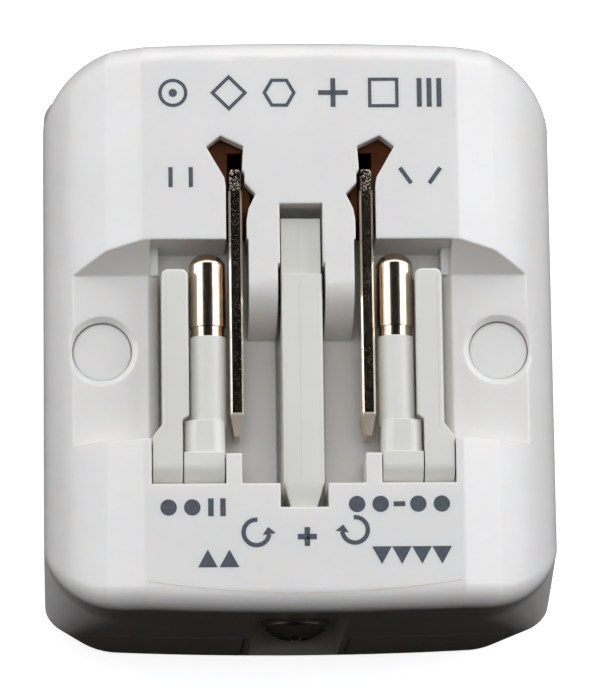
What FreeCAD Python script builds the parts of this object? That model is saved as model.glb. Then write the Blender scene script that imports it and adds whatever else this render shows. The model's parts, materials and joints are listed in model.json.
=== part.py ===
"""Universal travel adapter, plug side up, with folding plug pins and a shuttered socket face.

Millimetres. The origin is at the middle of the socket face, on which the adapter lies.
+Z is the way the plug side faces, +Y runs along the body from the foldaway pin hinges
towards the flat blade hinges, and X runs across it. Right means +X.
"""
import FreeCAD, Part
import math
import os

from FreeCAD import Vector

# Body outline
BODY_WIDTH = 52.0
BODY_LENGTH = 58.4
BODY_HEIGHT = 36.0
SPLIT_Z = 15.5
SHELL_WALL = 2.0
ROOF_WALL = 1.8
CORNER_R = 3.8
CORNER_TOP_R = 8.8
CORNER_BASE_R = 8.6
END_BULGE = 0.42
PLAN_OVER = 0.25
EDGE_R = 2.3
BASE_R = 2.0

# Plug face: a flat strip, a shallow facet each side, then a curved flank
FLAT_INSET = 10.1
FACET_INSET = 6.4
FACET_DROP = 1.35
FLANK_DROP = 10.0
FLANK_PULL = 3.5
FLANK_ANGLE = 40.0
FACET_SOFT_R = 1.2

# Joint between the casings
GROOVE = 0.25
LIP_INSET = 1.1
LIP_HEIGHT = 1.2
LIP_CLEAR = 0.1
HOOK_HALF = 7.0
HOOK_THICK = 1.4
HOOK_RISE = 3.0

# Recess that the folded pins lie in
RECESS_HALF = 15.2
RECESS_SIDE_HALF = 14.35
RECESS_DEPTH = 7.6
PIN_TIP_GAP = 1.05
TUB_WALL = 1.5
SHELF_DEPTH = 4.3
SHELF_EDGE_HALF = 15.4
SHELF_EDGE_DROP = 1.1
SHELF_LEAN = 2.8
SHELF_LENGTH = 17.5

# Fins between the blades and the earth pin
FIN_HALF = 5.3
FIN_LENGTH = 4.0
FIN_NOSE = 4.9

# Round pins, guide bars and their shared hinge line
PIN_HINGE_Y = -14.35
PIN_HINGE_DEPTH = 2.3
PIN_HINGE_R = 0.75
PIN_X = 9.45
PIN_R = 1.85
PIN_REACH = 21.7
PIN_METAL_LENGTH = 8.7
PIN_NECK = 1.0
PIN_NECK_R = 1.7
PIN_CORE_R = 1.3
PIN_TAIL = 1.2
PIN_DOME = 1.2
BLOCK_HALF = 2.0
BLOCK_LENGTH = 1.1
BLOCK_INNER_X = 7.9
BLOCK_OUTER_X = 11.95
SLEEVE_FOOT = 4.4
SLEEVE_STEP = 0.02
FOOT_R = 1.3
FOOT_SUNK = 0.5
FOOT_INNER_STEP = 0.1
FOOT_OUTER_STEP = 0.05
GUIDE_INNER_X = 11.42
GUIDE_OUTER_X = 14.1
GUIDE_REACH = 19.8
GUIDE_STEP = 4.9
GUIDE_STEP_RUN = 0.5
GUIDE_FLARE_START = 3.95
GUIDE_FLARE_END = 2.65
GUIDE_CORNER_R = 0.7
PIVOT_RUN = 0.05
SIDE_RUN = 0.13
SWING_CLEAR = 0.15
RIB_INNER_X = 6.2
RIB_LENGTH = 3.05

# Earth pin
EARTH_HINGE_Y = 7.9
EARTH_HINGE_DEPTH = 4.3
EARTH_HINGE_R = 0.8
EARTH_HALF = 2.05
EARTH_DEPTH = 8.0
EARTH_SHOULDER = 3.0
EARTH_REACH = 26.65
EARTH_TIP_RUN = 2.5
EARTH_TIP_HALF = 1.3
EARTH_HUB_REACH = 3.0
EARTH_HUB_TOP = 2.5
EARTH_HUB_R = 3.9
EARTH_NARROW_CLEAR = 0.12
EARTH_WIDE_CLEAR = 0.35
EARTH_NARROW_LENGTH = 2.0
EARTH_FLOOR_CLEAR = 0.3

# Flat blades
BLADE_X = 6.6
BLADE_THICK = 1.36
BLADE_WIDTH = 6.35
BLADE_SUNK = 0.4
BLADE_EDGE = 0.2
BLADE_HEEL = 1.37
BLADE_REACH = 23.55
BLADE_TIP_RUN = 2.2
BLADE_TIP_HALF = 0.28
BLADE_HINGE_Y = 12.1
BLADE_HINGE_DROP = 5.6
BLADE_HINGE_R = 0.7
BLADE_LOBE_R = 2.2
TANG_THICK = 1.16
TANG_REACH = 3.6
TANG_DROP = 0.25
TANG_SOFT_R = 0.4

# Swivelling stems that carry the blades
STEM_OFFSET = 2.9
STEM_R = 2.2
STEM_CHEEK = 0.8
STEM_CHEEK_CLEAR = 0.06
STEM_CHEEK_RISE = 3.5
STEM_BASE_DROP = 3.1
STEM_BASE_THICK = 1.6
STEM_SLOT_DEPTH = 0.65
STEM_BASE_R = 2.75
STEM_FOOT_R = 2.8
STEM_FOOT_THICK = 0.6
CHEEK_FRONT = 1.7
CHEEK_BACK = 3.1
WING_THICK = 1.0
WING_INNER = 2.4
WING_OUTER = 3.8
WING_FRONT = 0.4
WING_BACK = 4.7
WASHER_THICK = 0.3
TOWER_R = 3.5
SLOT_INNER_CLEAR = 0.45
SLOT_OUTER_CLEAR = 0.28
SLOT_OUTER_EASE = 0.85
SLOT_INNER_START = 4.65
SLOT_CORNERS = (
    (1.08, -0.25), (2.9, 2.95), (1.45, 4.1), (-0.85, 3.0), (-0.7, 0.6),
    (-0.98, 0.2), (-0.98, -0.8), (-2.05, -1.95), (-1.32, -3.5),
)

# Screw in the end wall
SCOOP_HALF = 4.75
SCOOP_BACK_HALF = 4.15
SCOOP_DROP = 3.4
SCOOP_BACK = 2.3
RAMP_TOP_Z = 7.0
RAMP_FOOT_Z = 1.8
TONGUE_HALF = 5.4
TONGUE_THICK = 1.9
TONGUE_CLEAR = 0.15
END_SCREW_Z = 11.0
END_HEAD_R = 3.6
END_RIM = 0.6
END_DOME = 1.4
SCREW_R = 1.5
SCREW_CLEAR = 0.15
THREAD_CLEAR = 0.02
END_SCREW_GAP = 1.3
END_BOSS_HALF = 3.2
CROSS_WIDTH = 0.9
CROSS_LENGTH = 3.8
CROSS_DEPTH = 1.1

# Casing screws under their caps
CAP_OFFSET = 0.54
CAP_Y = -2.16
CAP_R = 2.95
CAP_CLEAR = 0.06
CAP_TOP_DROP = 0.75
CAP_THICK = 1.6
CAP_RIM_R = 3.6
CAP_RIM_DROP = 0.45
WELL_R = 2.8
WELL_DEPTH = 16.0
SCREW_BOSS_R = 3.8
CASE_HEAD_R = 2.7
CASE_HEAD_HEIGHT = 1.9
CASE_SCREW_LENGTH = 13.5

# Socket face and its apertures
FACE_WALL = 2.0
LIVE_Y = -8.8
EARTH_PITCH = 22.2
EURO_X = 9.5
EURO_R = 2.6
BRITISH_INNER_X = 7.5
BRITISH_OUTER_X = 14.7
BRITISH_HEIGHT = 4.8
FLAT_X = 6.35
FLAT_SLOT_W = 1.9
FLAT_SLOT_L = 7.1
SPLAYED_X = 6.85
SPLAY = 30.0
EARTH_MOUTH_W = 4.9
EARTH_MOUTH_L = 8.8
APERTURE_LEAD = 0.4

# Shutter behind the apertures
SHUTTER_HALF = 15.3
SHUTTER_GAP = 0.2
SHUTTER_THICK = 2.2
SHUTTER_MARGIN = 0.5
SHUTTER_RAMP = 1.3
SPRING_X = 11.5
SPRING_END_Y = 9.0
SPRING_COIL_R = 0.82
SPRING_WIRE_R = 0.16
SPRING_TURNS = 9
SPIGOT_R = 0.5
SPIGOT_LENGTH = 1.5
SEAT_GAP = 0.05

# Moulded carrier for the contacts, and its cover
CARRIER_Z = 4.6
CARRIER_DROP = 15.8
CARRIER_HALF = 16.0
CARRIER_END = 0.65
CARRIER_FRONT = 1.4
CARRIER_PLATE = 1.4
POCKET_INNER_X = 4.8
POCKET_OUTER_X = 15.0
POCKET_HALF_Y = 4.2
CORE_WALL = 1.2
COVER_THICK = 2.2
COVER_HALF = 15.8
FENCE_TOP_Z = 7.5
FENCE_GAP = 0.15
RAIL_INNER_X = 15.5
CARRIER_SCREW_X = 13.8
CARRIER_SCREW_YS = (6.0, -15.2)
CARRIER_SCREW_R = 1.0
CARRIER_HEAD_R = 1.7
CARRIER_HEAD_HEIGHT = 1.0
CARRIER_SCREW_LENGTH = 8.0
CARRIER_COLUMN_R = 2.1
PRESS_POST_Y = 0.0
PRESS_POST_R = 1.5

# Contacts
BAR_THICK = 0.8
BAR_INNER_X = 9.0
BAR_OUTER_X = 12.0
BAR_REACH_X = 4.6
BAR_END = 1.6
STRIP = 0.5
LEAF_GAP = 3.5
LEAF_ROOT_GAP = 5.2
LEAF_MOUTH_GAP = 5.0
LEAF_MOUTH_Z = 6.6
LEAF_WAIST_Z = 9.5
LEAF_INNER_X = 8.3
LEAF_OUTER_X = 14.4
CLIP_GAP = 1.7
CLIP_HALF_Y = 3.4
RISER_X = 9.45
RISER_HALF = 1.15
RISER_THICK = 0.4
RISER_TIP_GAP = 0.3
RISER_FOOT = 2.2
RISER_ROLL_R = 0.45
RIVET_R = 0.6
RIVET_HEAD_R = 1.05
RIVET_HEAD = 0.35

# Places that follow from the sizes above
FAR = 60.0
HALF_LENGTH = BODY_LENGTH / 2
HALF_WIDTH = BODY_WIDTH / 2
FLAT_HALF = HALF_WIDTH - FLAT_INSET
FACET_HALF = HALF_WIDTH - FACET_INSET
FLANK_FOOT_Z = BODY_HEIGHT - FLANK_DROP
RECESS_FLOOR_Z = BODY_HEIGHT - RECESS_DEPTH
SHELF_Z = BODY_HEIGHT - SHELF_DEPTH
PIN_HINGE_Z = BODY_HEIGHT - PIN_HINGE_DEPTH
PIN_TIP_Y = PIN_HINGE_Y + PIN_REACH
GUIDE_TIP_Y = PIN_HINGE_Y + GUIDE_REACH
RECESS_TOP_Y = PIN_TIP_Y + PIN_TIP_GAP
RECESS_END_Y = PIN_HINGE_Y - BLOCK_HALF - SWING_CLEAR
SHELF_FOOT_Y = RECESS_TOP_Y - SHELF_LEAN
SHELF_END_Y = SHELF_FOOT_Y - SHELF_LENGTH
FIN_SHOULDER_Y = RECESS_TOP_Y - FIN_LENGTH
FIN_FOOT_Y = FIN_SHOULDER_Y - FIN_NOSE
EARTH_HINGE_Z = BODY_HEIGHT - EARTH_HINGE_DEPTH
EARTH_TIP_Y = EARTH_HINGE_Y - EARTH_REACH
EARTH_NARROW_Y = EARTH_HINGE_Y - EARTH_NARROW_LENGTH
EARTH_FLOOR_Z = EARTH_HINGE_Z - EARTH_DEPTH / 2 - EARTH_FLOOR_CLEAR
BLADE_TOP_Z = BODY_HEIGHT - BLADE_SUNK
BLADE_HINGE_Z = BLADE_TOP_Z - BLADE_HINGE_DROP
BLADE_HEEL_Y = BLADE_HINGE_Y + BLADE_HEEL
BLADE_TIP_Y = BLADE_HINGE_Y - BLADE_REACH
BLADE_SHOULDER_Y = BLADE_TIP_Y + BLADE_TIP_RUN
TANG_REACH_Y = BLADE_HINGE_Y + TANG_REACH
STEM_Y = BLADE_HINGE_Y + STEM_OFFSET
STEM_CHEEK_TOP_Z = BLADE_HINGE_Z + STEM_CHEEK_RISE
STEM_BASE_Z = BLADE_HINGE_Z - STEM_BASE_DROP
CHEEK_FRONT_Y = BLADE_HINGE_Y - CHEEK_FRONT
CHEEK_BACK_Y = STEM_Y + CHEEK_BACK
TOWER_TOP_Z = STEM_BASE_Z - STEM_BASE_THICK - WASHER_THICK
CARRIER_TOP_Z = BODY_HEIGHT - CARRIER_DROP
COVER_TOP_Z = CARRIER_TOP_Z + COVER_THICK
BAR_BOTTOM_Z = CARRIER_TOP_Z
BAR_TOP_Z = CARRIER_TOP_Z + BAR_THICK
EARTH_MOUTH_Y = LIVE_Y + EARTH_PITCH
CARRIER_FRONT_Y = EARTH_MOUTH_Y + EARTH_MOUTH_L / 2 + CARRIER_FRONT
CARRIER_BACK_Y = PIN_HINGE_Y - RISER_FOOT - CARRIER_END
CAP_X = (RECESS_HALF + HALF_WIDTH) / 2 - CAP_OFFSET
WELL_FLOOR_Z = BODY_HEIGHT - WELL_DEPTH
SCOOP_TOP_Z = BODY_HEIGHT - SCOOP_DROP
SCOOP_BACK_Y = -HALF_LENGTH + SCOOP_BACK
TONGUE_BACK_Y = SCOOP_BACK_Y + TONGUE_THICK
END_SCREW_LENGTH = CARRIER_BACK_Y - END_SCREW_GAP - SCOOP_BACK_Y


def box(x0, x1, y0, y1, z0, z1):
    """A box between two corners given in any order along each axis."""
    low = Vector(min(x0, x1), min(y0, y1), min(z0, z1))
    return Part.makeBox(abs(x1 - x0), abs(y1 - y0), abs(z1 - z0), low)


def rod(axis, start, length, radius):
    """A round rod from start, running the given length along a unit axis."""
    return Part.makeCylinder(radius, length, Vector(*start), Vector(*axis))


def rod_x(x0, x1, y, z, radius):
    """A round rod along X between two X values."""
    return rod((1, 0, 0), (min(x0, x1), y, z), abs(x1 - x0), radius)


def rod_z(x, y, z0, z1, radius):
    """A round rod along Z between two heights."""
    return rod((0, 0, 1), (x, y, z0), z1 - z0, radius)


def outline_face(points):
    """A flat face inside a closed outline of corner points."""
    vectors = [Vector(*point) for point in points]
    return Part.Face(Part.makePolygon(vectors + vectors[:1]))


def slab_x(points_yz, x0, x1):
    """An outline in the YZ plane, carried from x0 to x1."""
    face = outline_face([(x0, y, z) for y, z in points_yz])
    return face.extrude(Vector(x1 - x0, 0, 0))


def slab_z(points_xy, z0, z1):
    """An outline in the XY plane, carried from z0 to z1."""
    face = outline_face([(x, y, z0) for x, y in points_xy])
    return face.extrude(Vector(0, 0, z1 - z0))


def slab_y(points_xz, y0, y1):
    """An outline in the XZ plane, carried from y0 to y1."""
    face = outline_face([(x, y0, z) for x, z in points_xz])
    return face.extrude(Vector(0, y1 - y0, 0))


def mirrored(shape):
    """The same piece on the other side of the YZ plane."""
    return shape.mirror(Vector(0, 0, 0), Vector(1, 0, 0))


def both(shape):
    """A piece and its mirror image, as a list."""
    return [shape, mirrored(shape)]


def joined(shapes):
    """One clean solid from overlapping shapes."""
    result = shapes[0]
    for shape in shapes[1:]:
        result = result.fuse(shape)
    return result.removeSplitter()


def cut_all(shape, tools):
    """The shape with every tool cut away."""
    for tool in tools:
        shape = shape.cut(tool)
    return shape


def edges_where(shape, test):
    """The edges whose bounding box passes a test."""
    return [edge for edge in shape.Edges if test(edge.BoundBox)]


def corner_radius(z):
    """The plan corner's radius at a height, least at the joint and larger at the face and the base."""
    if z > SPLIT_Z:
        share, far_r = min((z - SPLIT_Z) / (FLANK_FOOT_Z - SPLIT_Z), 1), CORNER_TOP_R
    else:
        share, far_r = (SPLIT_Z - z) / SPLIT_Z, CORNER_BASE_R
    return CORNER_R + share * (far_r - CORNER_R)


def plan_wire(inset, z):
    """The body's plan outline at a height, drawn in by an inset: bowed ends, round corners."""
    half_x = HALF_WIDTH + PLAN_OVER - inset
    half_y = HALF_LENGTH - inset
    radius = corner_radius(z) - inset
    corner_x = half_x - radius
    bow_r = (corner_x ** 2 + END_BULGE ** 2) / (2 * END_BULGE)
    bow_y = half_y - bow_r
    corner_y = bow_y + math.sqrt((bow_r - radius) ** 2 - corner_x ** 2)
    reach = bow_r / (bow_r - radius)
    meet_x = corner_x * reach
    meet_y = bow_y + (corner_y - bow_y) * reach
    middle = math.atan2(meet_y - corner_y, meet_x - corner_x) / 2
    mid_x = corner_x + radius * math.cos(middle)
    mid_y = corner_y + radius * math.sin(middle)

    def arc(*points):
        return Part.Arc(*[Vector(x, y, z) for x, y in points]).toShape()

    def line(start, end):
        return Part.LineSegment(Vector(*start, z), Vector(*end, z)).toShape()

    edges = [
        arc((half_x, corner_y), (mid_x, mid_y), (meet_x, meet_y)),
        arc((meet_x, meet_y), (0, half_y), (-meet_x, meet_y)),
        arc((-meet_x, meet_y), (-mid_x, mid_y), (-half_x, corner_y)),
        line((-half_x, corner_y), (-half_x, -corner_y)),
        arc((-half_x, -corner_y), (-mid_x, -mid_y), (-meet_x, -meet_y)),
        arc((-meet_x, -meet_y), (0, -half_y), (meet_x, -meet_y)),
        arc((meet_x, -meet_y), (mid_x, -mid_y), (half_x, -corner_y)),
        line((half_x, -corner_y), (half_x, corner_y)),
    ]
    return Part.Wire(edges)


def plan_block(inset, z0, z1):
    """The space inside the plan outline between two heights, with the outline's changes of corner."""
    levels = [z0] + [z for z in (SPLIT_Z, FLANK_FOOT_Z) if z0 < z < z1] + [z1]
    wires = [plan_wire(inset, z) for z in levels]
    return joined([Part.makeLoft([low, high], True, True) for low, high in zip(wires, wires[1:])])


def flank_prism():
    """The body seen along Y: flat face, facets and curved flanks, with softened creases."""
    pull = math.radians(FLANK_ANGLE)
    facet_z = BODY_HEIGHT - FACET_DROP
    reach_x = FACET_HALF + FLANK_PULL * math.cos(pull)
    reach_z = facet_z - FLANK_PULL * math.sin(pull)

    def at(x, z):
        return Vector(x, -FAR / 2, z)

    def line(start, end):
        return Part.LineSegment(at(*start), at(*end)).toShape()

    def flank(side):
        curve = Part.BezierCurve()
        poles = [(FACET_HALF, facet_z), (reach_x, reach_z)]
        poles += [(HALF_WIDTH, FLANK_FOOT_Z + FLANK_PULL), (HALF_WIDTH, FLANK_FOOT_Z)]
        curve.setPoles([at(side * x, z) for x, z in poles])
        return curve.toShape()

    edges = [
        line((-FLAT_HALF, BODY_HEIGHT), (FLAT_HALF, BODY_HEIGHT)),
        line((FLAT_HALF, BODY_HEIGHT), (FACET_HALF, facet_z)),
        flank(1),
        line((HALF_WIDTH, FLANK_FOOT_Z), (HALF_WIDTH, 0)),
        line((HALF_WIDTH, 0), (-HALF_WIDTH, 0)),
        line((-HALF_WIDTH, 0), (-HALF_WIDTH, FLANK_FOOT_Z)),
        flank(-1),
        line((-FACET_HALF, facet_z), (-FLAT_HALF, BODY_HEIGHT)),
    ]
    wire = Part.Wire(Part.__sortEdges__(edges))
    solid = Part.Face(wire).extrude(Vector(0, FAR, 0))
    creases = edges_where(solid, lambda b: b.YLength > FAR - 1 and b.ZMin > FLANK_FOOT_Z + 1)
    return solid.makeFillet(FACET_SOFT_R, creases)


def side_edges(block):
    """The upright edges where the plan corners meet the side walls."""
    return edges_where(block, lambda b: b.ZLength > 1 and
                       max(abs(b.XMin), abs(b.XMax)) > HALF_WIDTH - 0.5)


def upper_outside():
    """The outer form of the plug casing, with every outer edge rounded."""
    head = plan_block(0, FLANK_FOOT_Z, BODY_HEIGHT).common(flank_prism())

    def is_rim(b):
        upright = b.XLength < 1e-3 and b.YLength < 1e-3
        lengthwise = b.XLength < 1e-3 and b.ZLength < 1e-3
        at_side = max(abs(b.XMin), abs(b.XMax)) > HALF_WIDTH - 0.5
        return b.ZMax > FLANK_FOOT_Z + 1e-3 and not lengthwise and (at_side or not upright)

    head = head.makeFillet(EDGE_R, edges_where(head, is_rim))
    skirt = plan_block(0, SPLIT_Z, FLANK_FOOT_Z).common(
        box(-HALF_WIDTH, HALF_WIDTH, -FAR, FAR, SPLIT_Z, FLANK_FOOT_Z))
    skirt = skirt.makeFillet(EDGE_R, side_edges(skirt))
    return joined([head, skirt])


def lower_outside():
    """The outer form of the socket casing, rounded at its sides and round the socket face."""
    sides = box(-HALF_WIDTH, HALF_WIDTH, -FAR, FAR, 0, SPLIT_Z)
    block = plan_block(0, 0, SPLIT_Z).common(sides)
    block = block.makeFillet(EDGE_R, side_edges(block))
    return block.makeFillet(BASE_R, edges_where(block, lambda b: b.ZMax < 1e-3))


def ring(inset_out, inset_in, z0, z1):
    """A band that follows the plan outline between two insets."""
    outer = plan_block(inset_out, z0, z1)
    sides = box(-HALF_WIDTH + inset_out, HALF_WIDTH - inset_out, -FAR, FAR, z0, z1)
    inner = plan_block(inset_in, z0, z1)
    inner = inner.common(box(-HALF_WIDTH + inset_in, HALF_WIDTH - inset_in, -FAR, FAR, z0, z1))
    return outer.common(sides).cut(inner)


def inner_space(z0, z1):
    """The hollow of the casings, one wall inside the outline."""
    half = HALF_WIDTH - SHELL_WALL
    return plan_block(SHELL_WALL, z0, z1).common(box(-half, half, -FAR, FAR, z0, z1))


def plug_hollow():
    """The hollow of the plug casing, under its roof and inside its flanks."""
    roof_z = BODY_HEIGHT - ROOF_WALL
    half = HALF_WIDTH - SHELL_WALL
    facet_x = FACET_HALF - ROOF_WALL
    profile = [
        (-half, SPLIT_Z), (half, SPLIT_Z), (half, FLANK_FOOT_Z - SHELL_WALL / 2),
        (facet_x, roof_z - FACET_DROP), (FLAT_HALF - ROOF_WALL / 2, roof_z),
        (-FLAT_HALF + ROOF_WALL / 2, roof_z), (-facet_x, roof_z - FACET_DROP),
        (-half, FLANK_FOOT_Z - SHELL_WALL / 2),
    ]
    return inner_space(SPLIT_Z, roof_z).common(slab_y(profile, -FAR / 2, FAR / 2))


def shelf_profile(grow):
    """The finger step across the body, seen along X: a floor, a sloped wall and an upright one."""
    top = BODY_HEIGHT + 2
    rise = (RECESS_TOP_Y - SHELF_FOOT_Y) / (BODY_HEIGHT - SHELF_Z)
    lean = rise * (top - SHELF_Z)
    return [
        (SHELF_END_Y - grow, top), (SHELF_END_Y - grow, SHELF_Z - grow),
        (SHELF_FOOT_Y + grow * 0.7, SHELF_Z - grow), (SHELF_FOOT_Y + lean + grow * 1.2, top),
    ]


def recess_cuts():
    """The recess for the folded pins: a tub, a deeper earth pin channel and the side steps."""
    top = BODY_HEIGHT + 2
    tub = box(-RECESS_SIDE_HALF, RECESS_SIDE_HALF, RECESS_END_Y, RECESS_TOP_Y, RECESS_FLOOR_Z, top)
    hinge_bay = box(-RECESS_HALF, RECESS_HALF, RECESS_END_Y, SHELF_END_Y + 0.2, RECESS_FLOOR_Z, top)
    above = box(-RECESS_HALF, RECESS_HALF, SHELF_END_Y, RECESS_TOP_Y, SHELF_Z, top)
    lead_z = SHELF_Z - SHELF_EDGE_DROP
    lead = slab_y([
        (-SHELF_EDGE_HALF, SHELF_Z), (-RECESS_SIDE_HALF, lead_z), (RECESS_SIDE_HALF, lead_z),
        (SHELF_EDGE_HALF, SHELF_Z), (SHELF_EDGE_HALF, SHELF_Z + 0.5), (-SHELF_EDGE_HALF, SHELF_Z + 0.5),
    ], SHELF_END_Y, SHELF_FOOT_Y)
    tub = joined([tub, hinge_bay, above, lead])
    tub = cut_all(tub, both(fin()) + both(hinge_rib()))
    cuts = [tub] + earth_channel()
    for side in (1, -1):
        cuts.append(slab_x(shelf_profile(0), side * RECESS_HALF, side * FAR))
    return cuts


def fin():
    """The right fin beside the earth pin, whose end falls to the recess floor in a quarter ellipse."""
    height = BODY_HEIGHT - RECESS_FLOOR_Z
    run = FIN_SHOULDER_Y - FIN_FOOT_Y
    inner = EARTH_HALF
    centre = Vector(inner, FIN_SHOULDER_Y, RECESS_FLOOR_Z)
    quarter = Part.Ellipse(centre, max(height, run), min(height, run))
    quarter.Axis = Vector(1, 0, 0)
    quarter.XAxis = Vector(0, 0, 1) if height > run else Vector(0, 1, 0)
    disc = Part.Face(Part.Wire(quarter.toShape())).extrude(Vector(FIN_HALF - inner, 0, 0))
    floor_z = RECESS_FLOOR_Z - 0.5
    nose = disc.common(box(0, FAR, -FAR, FAR, RECESS_FLOOR_Z, FAR))
    block = box(inner, FIN_HALF, FIN_SHOULDER_Y, RECESS_TOP_Y + 1, floor_z, BODY_HEIGHT + 3)
    foot = box(inner, FIN_HALF, FIN_FOOT_Y, FIN_SHOULDER_Y, floor_z, RECESS_FLOOR_Z)
    return joined([nose, block, foot])


def hinge_rib():
    """The right rib that carries the inner end of the pin axle."""
    outer = BLOCK_INNER_X - SIDE_RUN
    front = RECESS_END_Y + RIB_LENGTH
    return box(RIB_INNER_X, outer, RECESS_END_Y - 1, front, RECESS_FLOOR_Z - 1, BODY_HEIGHT + 3)


def earth_channel():
    """The channel of the folded earth pin, narrower beside its hinge."""
    top = BODY_HEIGHT + 2
    floor_z = EARTH_FLOOR_Z
    back_y = EARTH_HINGE_Y + EARTH_DEPTH / 2 + SWING_CLEAR
    narrow = EARTH_HALF + EARTH_NARROW_CLEAR
    wide = EARTH_HALF + EARTH_WIDE_CLEAR
    return [
        box(-narrow, narrow, EARTH_NARROW_Y - 1, back_y, floor_z, top),
        box(-wide, wide, EARTH_TIP_Y - SWING_CLEAR, EARTH_NARROW_Y, floor_z, top),
    ]


def blade_slot():
    """The right blade slot: straight fold slot, joined with the slot turned for splayed pins."""
    low_x = BLADE_X - BLADE_THICK / 2 - SLOT_INNER_CLEAR
    high_x = BLADE_X + BLADE_THICK / 2 + SLOT_OUTER_CLEAR
    corners = [(high_x, RECESS_TOP_Y - 1), (high_x, STEM_Y + SLOT_CORNERS[0][1] - SLOT_OUTER_EASE)]
    corners += [(BLADE_X + x, STEM_Y + y) for x, y in SLOT_CORNERS]
    corners += [(low_x, STEM_Y - SLOT_INNER_START), (low_x, RECESS_TOP_Y - 1)]
    floor_z = RECESS_FLOOR_Z
    roof = slab_z(corners, BODY_HEIGHT - ROOF_WALL - 0.5, BODY_HEIGHT + 2)
    doorway = box(low_x, high_x, RECESS_TOP_Y - 1, RECESS_TOP_Y + TUB_WALL + 1, floor_z, BODY_HEIGHT)
    return roof.fuse(doorway)


def scoop():
    """The hollow in the end wall round the end screw, with an upright back and a ramp below it."""
    out_y = -HALF_LENGTH - 1
    ramp_end = -HALF_LENGTH - 0.05
    side = slab_x([
        (out_y, SCOOP_TOP_Z), (SCOOP_BACK_Y, SCOOP_TOP_Z), (SCOOP_BACK_Y, RAMP_TOP_Z),
        (ramp_end, RAMP_FOOT_Z), (out_y, RAMP_FOOT_Z),
    ], -SCOOP_HALF - 1, SCOOP_HALF + 1)
    plan = slab_z([
        (-SCOOP_HALF - 0.2, out_y), (SCOOP_HALF + 0.2, out_y),
        (SCOOP_BACK_HALF, SCOOP_BACK_Y), (-SCOOP_BACK_HALF, SCOOP_BACK_Y),
    ], 0, BODY_HEIGHT)
    return side.common(plan)


def cap_well():
    """The right well: a lead-in, the cap's seat and the deep bore of the casing screw."""
    cap_top = SHELF_Z - CAP_TOP_DROP
    rim_z = SHELF_Z - CAP_RIM_DROP
    fit_r = CAP_R + CAP_CLEAR
    lead = Part.makeCone(fit_r, CAP_RIM_R - 0.05, CAP_RIM_DROP, Vector(CAP_X, CAP_Y, rim_z))
    return joined([
        lead,
        rod_z(CAP_X, CAP_Y, cap_top - CAP_THICK, rim_z + 0.01, fit_r),
        rod_z(CAP_X, CAP_Y, WELL_FLOOR_Z, cap_top - CAP_THICK + 0.01, WELL_R),
        rod_z(CAP_X, CAP_Y, 0, WELL_FLOOR_Z + 0.01, SCREW_R + SCREW_CLEAR),
    ])


def carrier_bay():
    """The room that the casings leave for the carrier and its cover."""
    half = CARRIER_HALF + FENCE_GAP
    end = FENCE_GAP
    return box(-half, half, CARRIER_BACK_Y - end, CARRIER_FRONT_Y + end, CARRIER_Z, COVER_TOP_Z + end)


def plug_casing():
    """The upper casing: face, recess, slots, screw wells and the tongue of the end screw."""
    outside = upper_outside()
    shell = outside
    tub_low = RECESS_FLOOR_Z - TUB_WALL
    earth_low = EARTH_FLOOR_Z - TUB_WALL
    tub_half = RECESS_HALF + TUB_WALL
    keeps = [
        box(-tub_half, tub_half, RECESS_END_Y - TUB_WALL, RECESS_TOP_Y + TUB_WALL, tub_low, FAR),
        box(-EARTH_HALF - 1.7, EARTH_HALF + 1.7, EARTH_TIP_Y - 1.7,
            EARTH_HINGE_Y + EARTH_DEPTH / 2 + TUB_WALL, earth_low, FAR),
        slab_x(shelf_profile(ROOF_WALL), -FAR, FAR),
        box(-TONGUE_HALF - 1.2, TONGUE_HALF + 1.2, -FAR, TONGUE_BACK_Y, SPLIT_Z, FAR),
    ]
    for x, y in ((CARRIER_SCREW_X, PRESS_POST_Y), (-CARRIER_SCREW_X, PRESS_POST_Y)):
        keeps.append(rod_z(x, y, COVER_TOP_Z, tub_low + 0.5, PRESS_POST_R))
    well_boss = rod_z(CAP_X, CAP_Y, SPLIT_Z, SHELF_Z, SCREW_BOSS_R)
    keeps += both(well_boss.cut(carrier_bay()))
    hollow = cut_all(plug_hollow(), keeps)
    shell = shell.cut(hollow)
    shell = cut_all(shell, recess_cuts())
    well_wall = rod_z(CAP_X, CAP_Y, WELL_FLOOR_Z, SHELF_Z, CAP_RIM_R)
    shell = shell.fuse(both(well_wall.cut(carrier_bay()).common(outside)))
    tongue_low = RAMP_FOOT_Z - TONGUE_CLEAR
    tongue = box(-TONGUE_HALF, TONGUE_HALF, -FAR, TONGUE_BACK_Y, tongue_low, SPLIT_Z + 1)
    shell = shell.fuse([tongue.common(outside), tongue.common(lower_outside())])
    rebate_z = SPLIT_Z + LIP_HEIGHT + LIP_CLEAR
    rebate = ring(LIP_INSET - LIP_CLEAR, SHELL_WALL + LIP_CLEAR, SPLIT_Z, rebate_z)
    tongue_bay = box(-TONGUE_HALF - 1.4, TONGUE_HALF + 1.4, -FAR, TONGUE_BACK_Y, 0, FAR)
    cuts = both(blade_slot()) + both(cap_well()) + [scoop(), rebate.cut(tongue_bay)]
    cuts += [end_screw_hole(SCREW_R + SCREW_CLEAR)]
    axle_r = PIN_HINGE_R + THREAD_CLEAR
    cuts += both(rod_x(RIB_INNER_X - 0.2, tub_half - 0.4, PIN_HINGE_Y, PIN_HINGE_Z, axle_r))
    earth_r = EARTH_HINGE_R + THREAD_CLEAR
    cuts += [rod_x(-FIN_HALF + 1, FIN_HALF - 1, EARTH_HINGE_Y, EARTH_HINGE_Z, earth_r)]
    riser_gap = box(RISER_X - RISER_HALF - 0.3, RISER_X + RISER_HALF + 0.3, PIN_HINGE_Y - 0.7,
                    PIN_HINGE_Y + 0.7, tub_low - 1, RECESS_FLOOR_Z + 1)
    cuts += both(riser_gap)
    return cut_all(shell, cuts).removeSplitter()


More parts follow.
